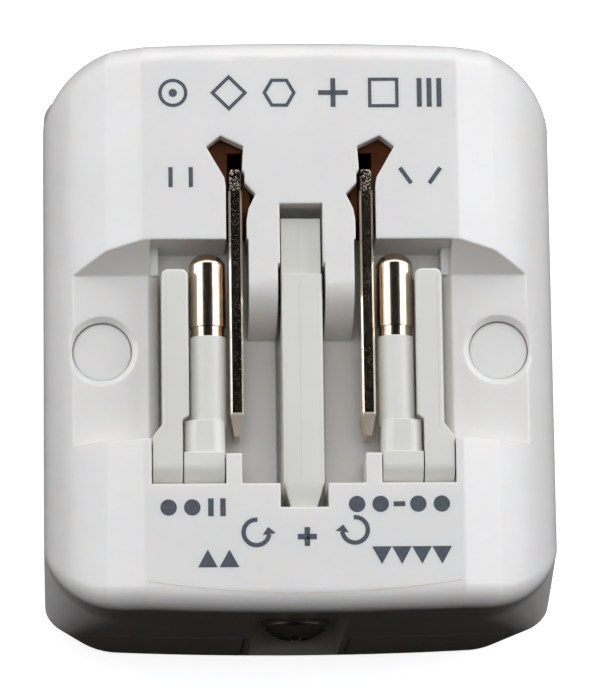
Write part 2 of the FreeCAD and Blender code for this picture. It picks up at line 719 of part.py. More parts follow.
def end_screw_hole(radius):
    """A bore along Y on the end screw's axis."""
    return rod((0, 1, 0), (0, -HALF_LENGTH - 1, END_SCREW_Z), SCOOP_BACK + END_SCREW_LENGTH + 1.6, radius)


def aperture(z0, z1, grow):
    """The right live aperture: round, rectangular, straight and splayed pin shapes in one."""
    half = BRITISH_HEIGHT / 2 + grow
    rect = box(BRITISH_INNER_X - grow, BRITISH_OUTER_X + grow, LIVE_Y - half, LIVE_Y + half, z0, z1)
    round_hole = rod_z(EURO_X, LIVE_Y, z0, z1, EURO_R + grow)
    half_w = FLAT_SLOT_W / 2 + grow
    half_l = FLAT_SLOT_L / 2 + grow
    straight = box(FLAT_X - half_w, FLAT_X + half_w, LIVE_Y - half_l, LIVE_Y + half_l, z0, z1)
    splayed = box(SPLAYED_X - half_w, SPLAYED_X + half_w, LIVE_Y - half_l, LIVE_Y + half_l, z0, z1)
    splayed = splayed.rotate(Vector(SPLAYED_X, LIVE_Y, 0), Vector(0, 0, 1), -SPLAY)
    bridge = box(FLAT_X, BRITISH_INNER_X + 1, LIVE_Y - half_w, LIVE_Y + half_w, z0, z1)
    return joined([rect, round_hole, straight, splayed, bridge])


def earth_mouth(z0, z1, grow):
    """The earth pin's aperture, a rounded rectangle."""
    half_w = EARTH_MOUTH_W / 2 + grow
    half_l = EARTH_MOUTH_L / 2 + grow
    mouth = box(-half_w, half_w, EARTH_MOUTH_Y - half_l, EARTH_MOUTH_Y + half_l, z0, z1)
    return mouth.makeFillet(0.8, edges_where(mouth, lambda b: b.XLength < 1e-3 and b.YLength < 1e-3))


def socket_casing():
    """The lower casing: socket face, walls, shutter rails, fence for the carrier and bosses."""
    shell = lower_outside().cut(inner_space(FACE_WALL, SPLIT_Z + 1))
    shell = shell.cut(ring(-1, GROOVE, SPLIT_Z - GROOVE, SPLIT_Z + 1))
    lip = ring(LIP_INSET, SHELL_WALL, SPLIT_Z - 1, SPLIT_Z + LIP_HEIGHT)
    rail_top = CARRIER_Z
    parts = [lip]
    floor_z = FACE_WALL - 0.5
    back_y, front_y = CARRIER_BACK_Y, CARRIER_FRONT_Y
    fence_x = CARRIER_HALF + FENCE_GAP
    rail = box(RAIL_INNER_X, fence_x + 0.5, back_y, front_y, floor_z, rail_top)
    fence = box(fence_x, fence_x + 1.0, back_y, front_y, floor_z, FENCE_TOP_Z)
    stop_y = shutter_back_y() - SHUTTER_GAP
    bar_half = RAIL_INNER_X + 0.1
    parts += both(rail) + both(fence)
    parts.append(box(-bar_half, bar_half, back_y, stop_y, floor_z, rail_top))
    parts.append(box(-bar_half, bar_half, front_y - 1, front_y, floor_z, rail_top))
    stop = box(SPRING_X - 2, SPRING_X + 2, SPRING_END_Y, SPRING_END_Y + 1.2, floor_z, rail_top)
    parts += both(stop)
    parts += both(spigot(SPRING_END_Y + 0.5, -1))
    boss = rod_z(CAP_X, CAP_Y, floor_z, SPLIT_Z, SCREW_BOSS_R - 0.4)
    parts += both(boss.cut(carrier_bay()))
    end_boss_y = SCOOP_BACK_Y + END_SCREW_LENGTH + 0.9
    boss_half = END_BOSS_HALF
    parts.append(box(-boss_half, boss_half, TONGUE_BACK_Y + TONGUE_CLEAR, end_boss_y, floor_z,
                     END_SCREW_Z + boss_half))
    wall_y = HALF_LENGTH - SHELL_WALL
    hook = box(-HOOK_HALF, HOOK_HALF, wall_y - HOOK_THICK - 0.2, wall_y - 0.2, floor_z, SPLIT_Z + HOOK_RISE)
    hook_foot = box(-HOOK_HALF, HOOK_HALF, wall_y - 0.3, wall_y + 1, floor_z, SPLIT_Z - 1)
    parts += [hook, hook_foot]
    shell = joined([shell] + parts)
    low_screw_z = WELL_FLOOR_Z - CASE_SCREW_LENGTH - 0.5
    cuts = both(rod_z(CAP_X, CAP_Y, low_screw_z, FAR, SCREW_R + THREAD_CLEAR))
    cuts.append(end_screw_hole(SCREW_R + THREAD_CLEAR))
    bay_half = TONGUE_HALF + TONGUE_CLEAR
    bay_y = TONGUE_BACK_Y + TONGUE_CLEAR
    cuts.append(box(-bay_half, bay_half, -FAR, bay_y, RAMP_FOOT_Z - 2 * TONGUE_CLEAR, FAR))
    cuts.append(box(-TONGUE_HALF - 1.4, TONGUE_HALF + 1.4, -FAR, bay_y, SPLIT_Z, FAR))
    cuts += both(aperture(-1, FACE_WALL + 0.1, 0))
    cuts += both(aperture(-1, APERTURE_LEAD, APERTURE_LEAD))
    cuts += [earth_mouth(-1, FACE_WALL + 0.1, 0), earth_mouth(-1, APERTURE_LEAD, APERTURE_LEAD)]
    return cut_all(shell, cuts).removeSplitter()


def shutter_back_y():
    """The edge of the closed shutter past the apertures' pin side."""
    return LIVE_Y - FLAT_SLOT_L / 2 - SHUTTER_MARGIN


def shutter_front_y():
    """The edge of the closed shutter that the springs press on."""
    return LIVE_Y + FLAT_SLOT_L / 2 + SHUTTER_MARGIN


def shutter():
    """The sliding shutter, with a ramp over each live aperture for pins to push against."""
    low = FACE_WALL + SHUTTER_GAP
    high = low + SHUTTER_THICK
    plate = box(-SHUTTER_HALF, SHUTTER_HALF, shutter_back_y(), shutter_front_y(), low, high)
    plate = plate.makeFillet(0.6, edges_where(plate, lambda b: b.XLength < 1e-3 and b.YLength < 1e-3))
    ramp = slab_x([
        (shutter_back_y() - 0.1, low - 0.1), (shutter_back_y() - 0.1, low + SHUTTER_RAMP),
        (LIVE_Y + BRITISH_HEIGHT / 2, low - 0.1),
    ], BRITISH_INNER_X, BRITISH_OUTER_X)
    plate = cut_all(plate, both(ramp))
    return joined([plate] + both(spigot(shutter_front_y() - 0.5, 1)))


def spigot(y, way):
    """The right peg that keeps a shutter spring in line, pointing +Y or -Y."""
    return rod((0, way, 0), (SPRING_X, y, spring_z()), SPIGOT_LENGTH + 0.5, SPIGOT_R)


def spring_z():
    """Height of the shutter springs' axes."""
    return FACE_WALL + SHUTTER_GAP + SHUTTER_THICK / 2


def shutter_spring():
    """The right compression spring behind the shutter, one unbroken wire on quarter-turn biarcs."""
    start = shutter_front_y() + SPRING_WIRE_R + SEAT_GAP
    end = SPRING_END_Y - SPRING_WIRE_R - SEAT_GAP
    pitch = (end - start) / SPRING_TURNS
    steps = SPRING_TURNS * 4

    def point(turn):
        angle = turn * 2 * math.pi
        return Vector(SPRING_X + SPRING_COIL_R * math.cos(angle), start + pitch * turn,
                      spring_z() + SPRING_COIL_R * math.sin(angle))

    edges = []
    for step in range(steps):
        a = step / 4
        edges.append(Part.Arc(point(a), point(a + 0.125), point(a + 0.25)).toShape())
    path = Part.Wire(edges)
    tangent = edges[0].tangentAt(edges[0].FirstParameter)
    ring_wire = Part.Wire(Part.makeCircle(SPRING_WIRE_R, point(0), tangent))
    pipe = path.makePipeShell([ring_wire], True, False)
    print("shutter spring gap between turns", round(pitch - 2 * SPRING_WIRE_R, 3))
    return pipe


def contact_carrier():
    """The moulded carrier: pockets for the socket contacts, earth pin well and cored-out middle."""
    body = box(-CARRIER_HALF, CARRIER_HALF, CARRIER_BACK_Y, CARRIER_FRONT_Y, CARRIER_Z, CARRIER_TOP_Z)
    uprights = edges_where(body, lambda b: b.XLength < 1e-3 and b.YLength < 1e-3)
    body = body.makeFillet(0.8, uprights)
    pocket = box(POCKET_INNER_X, POCKET_OUTER_X, LIVE_Y - POCKET_HALF_Y, LIVE_Y + POCKET_HALF_Y,
                 CARRIER_Z + CARRIER_PLATE, FAR)
    core_low = LIVE_Y + POCKET_HALF_Y + CORE_WALL
    core_high = EARTH_MOUTH_Y - EARTH_MOUTH_L / 2 - CORE_WALL
    roof_z = CARRIER_TOP_Z - CARRIER_PLATE
    inner = EARTH_MOUTH_W / 2 + CORE_WALL
    middle = box(CORE_WALL / 2, POCKET_OUTER_X - 0.4, core_low, core_high, -1, roof_z)
    flank = box(inner, POCKET_OUTER_X - 0.4, core_high + CORE_WALL, CARRIER_FRONT_Y - CORE_WALL, -1, roof_z)
    column = rod_z(CARRIER_SCREW_X, CARRIER_SCREW_YS[0], CARRIER_Z, FAR, CARRIER_COLUMN_R)
    middle = middle.cut(column)
    cuts = both(pocket) + both(middle) + both(flank)
    cuts += both(aperture(CARRIER_Z - 1, CARRIER_Z + CARRIER_PLATE + 0.1, 0.15))
    cuts.append(earth_mouth(CARRIER_Z - 1, FAR, 0.1))
    for y in CARRIER_SCREW_YS:
        low = COVER_TOP_Z - CARRIER_SCREW_LENGTH - 0.4
        cuts += both(rod_z(CARRIER_SCREW_X, y, low, FAR, CARRIER_SCREW_R + THREAD_CLEAR))
    return cut_all(body, cuts).removeSplitter()


def busbar_plan(grow, z0, z1):
    """The right bus bar's outline: a strip along Y with an arm to the blade stem."""
    strip = box(BAR_INNER_X - grow, BAR_OUTER_X + grow, PIN_HINGE_Y - RISER_FOOT - 0.2 - grow,
                STEM_Y + BAR_END + grow, z0, z1)
    arm_y0, arm_y1 = STEM_Y - BAR_END - grow, STEM_Y + BAR_END + grow
    arm = box(BAR_REACH_X - grow, BAR_OUTER_X + grow, arm_y0, arm_y1, z0, z1)
    return strip.fuse(arm).removeSplitter()


def busbar():
    """The right bus bar, joining blade, round pin and socket contact."""
    bar = busbar_plan(0, BAR_BOTTOM_Z, BAR_TOP_Z)
    return cut_all(bar, [rod_z(x, y, 0, FAR, RIVET_R) for x, y in rivet_places()])


def rivet_places():
    """Plan positions of the right bus bar's two rivets."""
    return [((BAR_INNER_X + BAR_OUTER_X) / 2, LIVE_Y), (BAR_INNER_X + 0.8, PIN_HINGE_Y - 1.25)]


def contact_rivets():
    """The right bus bar's rivets, into the socket contact and into the pin contact's foot."""
    (x1, y1), (x2, y2) = rivet_places()
    low = BAR_BOTTOM_Z - STRIP
    first = joined([
        rod_z(x1, y1, low, BAR_TOP_Z, RIVET_R),
        rod_z(x1, y1, low - RIVET_HEAD, low, RIVET_HEAD_R),
        rod_z(x1, y1, BAR_TOP_Z, BAR_TOP_Z + RIVET_HEAD, RIVET_HEAD_R),
    ])
    foot_top = BAR_TOP_Z + RISER_THICK
    second = joined([
        rod_z(x2, y2, BAR_BOTTOM_Z, foot_top, RIVET_R),
        rod_z(x2, y2, foot_top, foot_top + RIVET_HEAD, RIVET_HEAD_R - 0.2),
    ])
    return [first, second]


def leaf(way):
    """One sprung leaf of the right socket contact, on the +Y or -Y side of the pin."""
    inner = [(LEAF_ROOT_GAP / 2, BAR_BOTTOM_Z), (LEAF_GAP / 2, LEAF_WAIST_Z)]
    inner.append((LEAF_MOUTH_GAP / 2, LEAF_MOUTH_Z))
    outer = [(gap + STRIP, z) for gap, z in reversed(inner)]
    points = [(LIVE_Y + way * gap, z) for gap, z in inner + outer]
    return slab_x(points, LEAF_INNER_X, LEAF_OUTER_X)


def socket_contact():
    """The right socket contact: leaves for round and rectangular pins, a clip for flat ones."""
    web_low = BAR_BOTTOM_Z - STRIP
    web_half = LEAF_ROOT_GAP / 2 + STRIP
    clip_low = FLAT_X - CLIP_GAP / 2
    clip_high = FLAT_X + CLIP_GAP / 2
    clip_y0, clip_y1 = LIVE_Y - CLIP_HALF_Y, LIVE_Y + CLIP_HALF_Y
    pieces = [
        box(LEAF_INNER_X, LEAF_OUTER_X, LIVE_Y - web_half, LIVE_Y + web_half, web_low, BAR_BOTTOM_Z),
        box(clip_low - STRIP, LEAF_INNER_X + 0.5, LIVE_Y - 1.2, LIVE_Y + 1.2, web_low, BAR_BOTTOM_Z),
        box(clip_low - STRIP, clip_high + STRIP, clip_y0, clip_y1, web_low, BAR_BOTTOM_Z),
        leaf(1), leaf(-1),
    ]
    for x in (clip_low - STRIP, clip_high):
        pieces.append(box(x, x + STRIP, clip_y0, clip_y1, LEAF_MOUTH_Z, BAR_BOTTOM_Z))
    x, y = rivet_places()[0]
    return joined(pieces).cut(rod_z(x, y, 0, FAR, RIVET_R))


def pin_contact():
    """The right pin contact: a foot on the bus bar and a riser with a rolled tip under the hinge."""
    tip_z = PIN_HINGE_Z - BLOCK_HALF - RISER_TIP_GAP
    y0 = PIN_HINGE_Y - RISER_THICK / 2
    y1 = y0 + RISER_THICK
    x0, x1 = RISER_X - RISER_HALF, RISER_X + RISER_HALF
    roll_z = tip_z - RISER_ROLL_R
    foot = box(x0, x1, y0 - RISER_FOOT, y1, BAR_TOP_Z, BAR_TOP_Z + RISER_THICK)
    riser = box(x0, x1, y0, y1, BAR_TOP_Z, roll_z)
    roll = rod_x(x0, x1, PIN_HINGE_Y, roll_z, RISER_ROLL_R)
    x, y = rivet_places()[1]
    return joined([foot, riser, roll]).cut(rod_z(x, y, 0, FAR, RIVET_R))


def carrier_cover():
    """The cover over the bus bars, with a bearing tower for each blade stem."""
    plate = box(-COVER_HALF, COVER_HALF, CARRIER_BACK_Y, CARRIER_FRONT_Y, CARRIER_TOP_Z, COVER_TOP_Z)
    towers = both(rod_z(BLADE_X, STEM_Y, CARRIER_TOP_Z, TOWER_TOP_Z, TOWER_R))
    cover = joined([plate] + towers)
    window = box(RISER_X - RISER_HALF - 0.3, RISER_X + RISER_HALF + 0.3, PIN_HINGE_Y - RISER_FOOT - 0.9,
                 PIN_HINGE_Y + 0.7, 0, FAR)
    x1, y1 = rivet_places()[0]
    foot_top = BAR_TOP_Z + STEM_FOOT_THICK
    cuts = both(busbar_plan(0.15, CARRIER_TOP_Z - 1, BAR_TOP_Z + 0.02)) + both(window)
    cuts += both(rod_z(x1, y1, CARRIER_TOP_Z, BAR_TOP_Z + RIVET_HEAD + 0.1, RIVET_HEAD_R + 0.1))
    cuts += both(rod_z(BLADE_X, STEM_Y, CARRIER_TOP_Z - 1, FAR, STEM_R + PIVOT_RUN))
    cuts += both(rod_z(BLADE_X, STEM_Y, CARRIER_TOP_Z - 1, foot_top + PIVOT_RUN, STEM_FOOT_R + PIVOT_RUN))
    cuts.append(earth_mouth(CARRIER_TOP_Z - 1, FAR, 0.1))
    for y in CARRIER_SCREW_YS:
        cuts += both(rod_z(CARRIER_SCREW_X, y, 0, FAR, CARRIER_SCREW_R + 0.1))
    return cut_all(cover, cuts).removeSplitter()


def carrier_screws():
    """The four small screws that hold the cover on the carrier."""
    screws = []
    for y in CARRIER_SCREW_YS:
        low = COVER_TOP_Z - CARRIER_SCREW_LENGTH
        shank = rod_z(CARRIER_SCREW_X, y, low, COVER_TOP_Z + 0.2, CARRIER_SCREW_R)
        head = rod_z(CARRIER_SCREW_X, y, COVER_TOP_Z, COVER_TOP_Z + CARRIER_HEAD_HEIGHT, CARRIER_HEAD_R)
        top = COVER_TOP_Z + CARRIER_HEAD_HEIGHT
        slot = box(CARRIER_SCREW_X - FAR, CARRIER_SCREW_X + FAR, y - 0.2, y + 0.2, top - 0.45, top + 1)
        screws += both(joined([shank, head]).cut(slot))
    return Part.makeCompound(screws)


def blade_stem():
    """The right stem: a clevis on a round post that turns in the cover's tower.

    Two flat wings at the top of its cheeks close the slot behind the blade.
    """
    inner = TANG_THICK / 2 + STEM_CHEEK_CLEAR
    inner = max(inner, BLADE_THICK / 2 + STEM_CHEEK_CLEAR)
    outer = inner + STEM_CHEEK
    cheek_z = STEM_BASE_Z - 0.6
    cheeks = box(BLADE_X - outer, BLADE_X + outer, CHEEK_FRONT_Y, CHEEK_BACK_Y, cheek_z, STEM_CHEEK_TOP_Z)
    tops = edges_where(cheeks, lambda b: b.YLength < 1e-3 and b.ZLength < 1e-3 and b.ZMin > STEM_BASE_Z)
    cheeks = cheeks.makeFillet(1.6, tops)
    base_low = STEM_BASE_Z - STEM_BASE_THICK
    wings = box(BLADE_X - WING_INNER, BLADE_X + WING_OUTER, STEM_Y - WING_FRONT, STEM_Y + WING_BACK,
                STEM_CHEEK_TOP_Z - WING_THICK, STEM_CHEEK_TOP_Z)
    corners = edges_where(wings, lambda b: b.XLength < 1e-3 and b.YLength < 1e-3)
    stem = joined([
        cheeks,
        wings.makeFillet(WING_THICK, corners),
        rod_z(BLADE_X, STEM_Y, base_low, STEM_BASE_Z, STEM_BASE_R),
        rod_z(BLADE_X, STEM_Y, BAR_TOP_Z, base_low + 0.1, STEM_R),
        rod_z(BLADE_X, STEM_Y, BAR_TOP_Z, BAR_TOP_Z + STEM_FOOT_THICK, STEM_FOOT_R),
    ])
    gap = box(BLADE_X - inner, BLADE_X + inner, 0, FAR, STEM_BASE_Z - STEM_SLOT_DEPTH, FAR)
    hole = rod_x(0, FAR, BLADE_HINGE_Y, BLADE_HINGE_Z, BLADE_HINGE_R + THREAD_CLEAR)
    return cut_all(stem, [gap, hole])


def blade_pivot():
    """The right blade's hinge pin, through both cheeks of the stem."""
    reach = BLADE_THICK / 2 + STEM_CHEEK_CLEAR + STEM_CHEEK
    return rod_x(BLADE_X - reach, BLADE_X + reach, BLADE_HINGE_Y, BLADE_HINGE_Z, BLADE_HINGE_R)


def stem_washer():
    """The right stem's washer, between its base and the tower."""
    ring_z = TOWER_TOP_Z
    disc = rod_z(BLADE_X, STEM_Y, ring_z, ring_z + WASHER_THICK, TOWER_R - 0.6)
    return disc.cut(rod_z(BLADE_X, STEM_Y, 0, FAR, STEM_R + PIVOT_RUN))


def flat_blade():
    """The right flat blade, folded: chamfered edges, tapered tip and a lobed tang at the hinge."""
    half_t = BLADE_THICK / 2
    low_z = BLADE_TOP_Z - BLADE_WIDTH
    edge = BLADE_EDGE
    section = slab_y([
        (BLADE_X - half_t + edge, low_z), (BLADE_X + half_t - edge, low_z),
        (BLADE_X + half_t, low_z + edge), (BLADE_X + half_t, BLADE_TOP_Z - edge),
        (BLADE_X + half_t - edge, BLADE_TOP_Z), (BLADE_X - half_t + edge, BLADE_TOP_Z),
        (BLADE_X - half_t, BLADE_TOP_Z - edge), (BLADE_X - half_t, low_z + edge),
    ], BLADE_TIP_Y, BLADE_HEEL_Y)
    plan = slab_z([
        (BLADE_X - half_t, BLADE_HEEL_Y), (BLADE_X + half_t, BLADE_HEEL_Y),
        (BLADE_X + half_t, BLADE_SHOULDER_Y), (BLADE_X + BLADE_TIP_HALF, BLADE_TIP_Y),
        (BLADE_X - BLADE_TIP_HALF, BLADE_TIP_Y), (BLADE_X - half_t, BLADE_SHOULDER_Y),
    ], low_z, BLADE_TOP_Z)
    run = BLADE_SHOULDER_Y - BLADE_TIP_Y
    side = slab_x([
        (BLADE_HEEL_Y, low_z), (BLADE_HEEL_Y, BLADE_TOP_Z), (BLADE_SHOULDER_Y, BLADE_TOP_Z),
        (BLADE_TIP_Y, BLADE_TOP_Z - run / 2), (BLADE_TIP_Y, low_z + run / 2), (BLADE_SHOULDER_Y, low_z),
    ], BLADE_X - half_t, BLADE_X + half_t)
    half_tang = TANG_THICK / 2
    tang = slab_x([
        (BLADE_HEEL_Y - 1, low_z), (BLADE_HEEL_Y - 1, BLADE_TOP_Z - 0.1),
        (BLADE_HEEL_Y, BLADE_TOP_Z - 0.1), (TANG_REACH_Y, BLADE_TOP_Z - TANG_DROP), (TANG_REACH_Y, low_z),
    ], BLADE_X - half_tang, BLADE_X + half_tang)
    tang = tang.makeFillet(TANG_SOFT_R, edges_where(tang, lambda b: b.YMin > TANG_REACH_Y - 1e-3 and
                                                    b.XLength < 1e-3))
    lobe = rod_x(BLADE_X - half_tang, BLADE_X + half_tang, BLADE_HINGE_Y, BLADE_HINGE_Z, BLADE_LOBE_R)
    blade = joined([section.common(plan).common(side), tang, lobe])
    return blade.cut(rod_x(0, FAR, BLADE_HINGE_Y, BLADE_HINGE_Z, BLADE_HINGE_R + PIVOT_RUN))


def round_pin():
    """The right round pin's metal: domed bare end, a neck, then a thinner core to the hinge block."""
    sleeve_y = PIN_TIP_Y - PIN_METAL_LENGTH

    def along(y0, y1, radius):
        return rod((0, 1, 0), (PIN_X, y0, PIN_HINGE_Z), y1 - y0, radius)

    dome_r = (PIN_R ** 2 + PIN_DOME ** 2) / (2 * PIN_DOME)
    half_turn = math.asin(PIN_R / dome_r) / 2
    rim = Vector(PIN_X + PIN_R, PIN_TIP_Y - PIN_DOME, PIN_HINGE_Z)
    middle = Vector(PIN_X + dome_r * math.sin(half_turn),
                    PIN_TIP_Y - dome_r + dome_r * math.cos(half_turn), PIN_HINGE_Z)
    tip_point = Vector(PIN_X, PIN_TIP_Y, PIN_HINGE_Z)
    foot_y = sleeve_y + PIN_NECK
    corners = [tip_point, Vector(PIN_X, foot_y, PIN_HINGE_Z), Vector(PIN_X + PIN_R, foot_y, PIN_HINGE_Z), rim]
    sides = [Part.LineSegment(a, b).toShape() for a, b in zip(corners, corners[1:])]
    half = Part.Face(Part.Wire([Part.Arc(rim, middle, tip_point).toShape()] + sides))
    tip = half.revolve(Vector(PIN_X, 0, PIN_HINGE_Z), Vector(0, 1, 0), 360)
    core = along(PIN_HINGE_Y - PIN_TAIL, sleeve_y, PIN_CORE_R).cut(hinge_hole())
    return joined([tip, along(sleeve_y, sleeve_y + PIN_NECK, PIN_NECK_R), core])


def hinge_hole():
    """The running hole of the pin hinge through the moving pieces on the right."""
    return rod_x(0, FAR, PIN_HINGE_Y, PIN_HINGE_Z, PIN_HINGE_R + PIVOT_RUN)


def hinge_rounding(x0, x1, y1):
    """The space that a hinge block may fill: round behind the hinge, square before it."""
    low = PIN_HINGE_Z - BLOCK_HALF
    high = PIN_HINGE_Z + BLOCK_HALF
    knuckle = rod_x(x0, x1, PIN_HINGE_Y, PIN_HINGE_Z, BLOCK_HALF)
    return joined([knuckle, box(x0, x1, PIN_HINGE_Y, y1, low, high)])


def pin_sleeve():
    """The right round pin's moulded sleeve, with its wider foot and its hinge block."""
    block_y = PIN_HINGE_Y + BLOCK_LENGTH
    foot_y = PIN_HINGE_Y + SLEEVE_FOOT
    sleeve_y = PIN_TIP_Y - PIN_METAL_LENGTH
    half = PIN_R
    foot = box(BLOCK_INNER_X - FOOT_INNER_STEP, BLOCK_OUTER_X - FOOT_OUTER_STEP, block_y - FOOT_SUNK, foot_y,
               PIN_HINGE_Z - half, PIN_HINGE_Z + half)
    foot = foot.makeFillet(FOOT_R, edges_where(foot, lambda b: b.XLength < 1e-3 and b.ZLength < 1e-3))
    block = box(BLOCK_INNER_X, BLOCK_OUTER_X, -FAR, block_y, 0, FAR)
    block = block.common(hinge_rounding(BLOCK_INNER_X, BLOCK_OUTER_X, block_y))
    start = (PIN_X, foot_y - FOOT_SUNK, PIN_HINGE_Z)
    shaft = rod((0, 1, 0), start, sleeve_y - foot_y + FOOT_SUNK, PIN_R - SLEEVE_STEP)
    core = rod((0, 1, 0), (PIN_X, PIN_HINGE_Y - PIN_TAIL, PIN_HINGE_Z), FAR, PIN_CORE_R)
    return cut_all(joined([shaft, foot, block]), [core, hinge_hole()])


def guide_bar():
    """The right guide bar, which lies beside the round pin and stands with it."""
    inner = BLOCK_OUTER_X + SIDE_RUN
    outer = RECESS_HALF - SIDE_RUN
    step_y = PIN_HINGE_Y + GUIDE_STEP
    points = [
        (inner, PIN_HINGE_Y - BLOCK_HALF), (outer, PIN_HINGE_Y - BLOCK_HALF),
        (outer, PIN_HINGE_Y + GUIDE_FLARE_END), (GUIDE_OUTER_X, PIN_HINGE_Y + GUIDE_FLARE_START),
        (GUIDE_OUTER_X, GUIDE_TIP_Y), (GUIDE_INNER_X, GUIDE_TIP_Y), (GUIDE_INNER_X, step_y),
        (inner, step_y - GUIDE_STEP_RUN),
    ]
    bar = slab_z(points, PIN_HINGE_Z - BLOCK_HALF, PIN_HINGE_Z + BLOCK_HALF)
    bar = bar.common(hinge_rounding(inner - 1, outer + 1, GUIDE_TIP_Y))
    tips = edges_where(bar, lambda b: b.YMin > GUIDE_TIP_Y - 1e-3 and b.XLength < 1e-3)
    bar = bar.makeFillet(GUIDE_CORNER_R, tips)
    rims = edges_where(bar, lambda b: b.ZMin > PIN_HINGE_Z + BLOCK_HALF - 1e-3 and b.YMin > step_y - 0.01)
    bar = bar.makeFillet(0.25, rims)
    return bar.cut(hinge_hole())


def pin_axle():
    """The right axle, on which the round pin and the guide bar turn."""
    return rod_x(RIB_INNER_X + 0.3, RECESS_HALF + TUB_WALL - 0.6, PIN_HINGE_Y, PIN_HINGE_Z, PIN_HINGE_R)


def earth_pin():
    """The moulded earth pin, folded: a deep bar with a tapered tip and a lower hinge hub."""
    low = EARTH_HINGE_Z - EARTH_DEPTH / 2
    high = EARTH_HINGE_Z + EARTH_DEPTH / 2
    shoulder_y = EARTH_HINGE_Y - EARTH_SHOULDER
    bar = box(-EARTH_HALF, EARTH_HALF, EARTH_TIP_Y, shoulder_y, low, high)
    bar = bar.makeFillet(0.3, edges_where(bar, lambda b: b.XLength < 1e-3 and b.ZLength < 1e-3))
    taper_y = EARTH_TIP_Y + EARTH_TIP_RUN
    plan = slab_z([
        (-EARTH_HALF, shoulder_y), (-EARTH_HALF, taper_y), (-EARTH_TIP_HALF, EARTH_TIP_Y),
        (EARTH_TIP_HALF, EARTH_TIP_Y), (EARTH_HALF, taper_y), (EARTH_HALF, shoulder_y),
    ], low, high)
    side = slab_x([
        (shoulder_y, low), (shoulder_y, high), (taper_y, high), (EARTH_TIP_Y, high - EARTH_TIP_RUN / 2),
        (EARTH_TIP_Y, low + EARTH_TIP_RUN / 2), (taper_y, low),
    ], -EARTH_HALF, EARTH_HALF)
    hub_half = EARTH_HALF - 0.05
    hub = box(-hub_half, hub_half, shoulder_y - 0.5, EARTH_HINGE_Y + EARTH_HUB_REACH,
              EARTH_HINGE_Z - EARTH_HUB_REACH, EARTH_HINGE_Z + EARTH_HUB_TOP)
    hub = hub.common(rod_x(-hub_half, hub_half, EARTH_HINGE_Y, EARTH_HINGE_Z, EARTH_HUB_R))
    pin = joined([bar.common(plan).common(side), hub])
    return pin.cut(rod_x(-FAR, FAR, EARTH_HINGE_Y, EARTH_HINGE_Z, EARTH_HINGE_R + PIVOT_RUN))


def earth_axle():
    """The earth pin's axle, held in the two fins."""
    return rod_x(-FIN_HALF + 1.2, FIN_HALF - 1.2, EARTH_HINGE_Y, EARTH_HINGE_Z, EARTH_HINGE_R)


def end_screw():
    """The domed screw in the end wall, with a cross recess."""
    seat = SCOOP_BACK_Y
    rim = rod((0, -1, 0), (0, seat, END_SCREW_Z), END_RIM, END_HEAD_R)
    dome_r = (END_HEAD_R ** 2 + END_DOME ** 2) / (2 * END_DOME)
    centre_y = seat - END_RIM - END_DOME + dome_r
    ball = Part.makeSphere(dome_r, Vector(0, centre_y, END_SCREW_Z))
    cap = ball.common(box(-FAR, FAR, -FAR, seat - END_RIM, 0, FAR))
    shank = rod((0, 1, 0), (0, seat - END_RIM, END_SCREW_Z), END_RIM + END_SCREW_LENGTH, SCREW_R)
    apex = seat - END_RIM - END_DOME
    half_w = CROSS_WIDTH / 2
    half_l = CROSS_LENGTH / 2
    cross = [
        box(-half_l, half_l, -FAR, apex + CROSS_DEPTH, END_SCREW_Z - half_w, END_SCREW_Z + half_w),
        box(-half_w, half_w, -FAR, apex + CROSS_DEPTH, END_SCREW_Z - half_l, END_SCREW_Z + half_l),
    ]
    return cut_all(joined([rim, cap, shank]), cross)


def casing_screws():
    """The two long screws that close the casings, one under each cap."""
    head_top = WELL_FLOOR_Z + CASE_HEAD_HEIGHT
    head = rod_z(CAP_X, CAP_Y, WELL_FLOOR_Z, head_top, CASE_HEAD_R)
    shank = rod_z(CAP_X, CAP_Y, WELL_FLOOR_Z - CASE_SCREW_LENGTH, WELL_FLOOR_Z + 0.1, SCREW_R)
    cross = [
        box(CAP_X - 1.6, CAP_X + 1.6, CAP_Y - 0.35, CAP_Y + 0.35, head_top - 1, FAR),
        box(CAP_X - 0.35, CAP_X + 0.35, CAP_Y - 1.6, CAP_Y + 1.6, head_top - 1, FAR),
    ]
    return Part.makeCompound(both(cut_all(joined([head, shank]), cross)))


def screw_cap():
    """The right screw cap, a disc with a softened edge, sunk in its well."""
    top = SHELF_Z - CAP_TOP_DROP
    disc = rod_z(CAP_X, CAP_Y, top - CAP_THICK, top, CAP_R)
    return disc.makeFillet(0.2, edges_where(disc, lambda b: b.ZMin > top - 1e-3))


def build():
    """Every sub-part, by node name."""
    nodes = {
        "plug_casing": plug_casing(),
        "socket_casing": socket_casing(),
        "contact_carrier": contact_carrier(),
        "carrier_cover": carrier_cover(),
        "carrier_screws": carrier_screws(),
        "casing_screws": casing_screws(),
        "end_screw": end_screw(),
        "earth_pin": earth_pin(),
        "earth_axle": earth_axle(),
        "shutter": shutter(),
        "contact_rivets": Part.makeCompound(contact_rivets() + [mirrored(r) for r in contact_rivets()]),
    }
    pairs = {
        "screw_cap": screw_cap(),
        "flat_blade": flat_blade(),
        "blade_stem": blade_stem(),
        "blade_pivot": blade_pivot(),
        "stem_washer": stem_washer(),
        "round_pin": round_pin(),
        "pin_sleeve": pin_sleeve(),
        "guide_bar": guide_bar(),
        "pin_axle": pin_axle(),
        "pin_contact": pin_contact(),
        "busbar": busbar(),
        "socket_contact": socket_contact(),
        "shutter_spring": shutter_spring(),
    }
    for name, shape in pairs.items():
        nodes["right_" + name] = shape
        nodes["left_" + name] = mirrored(shape)
    return nodes


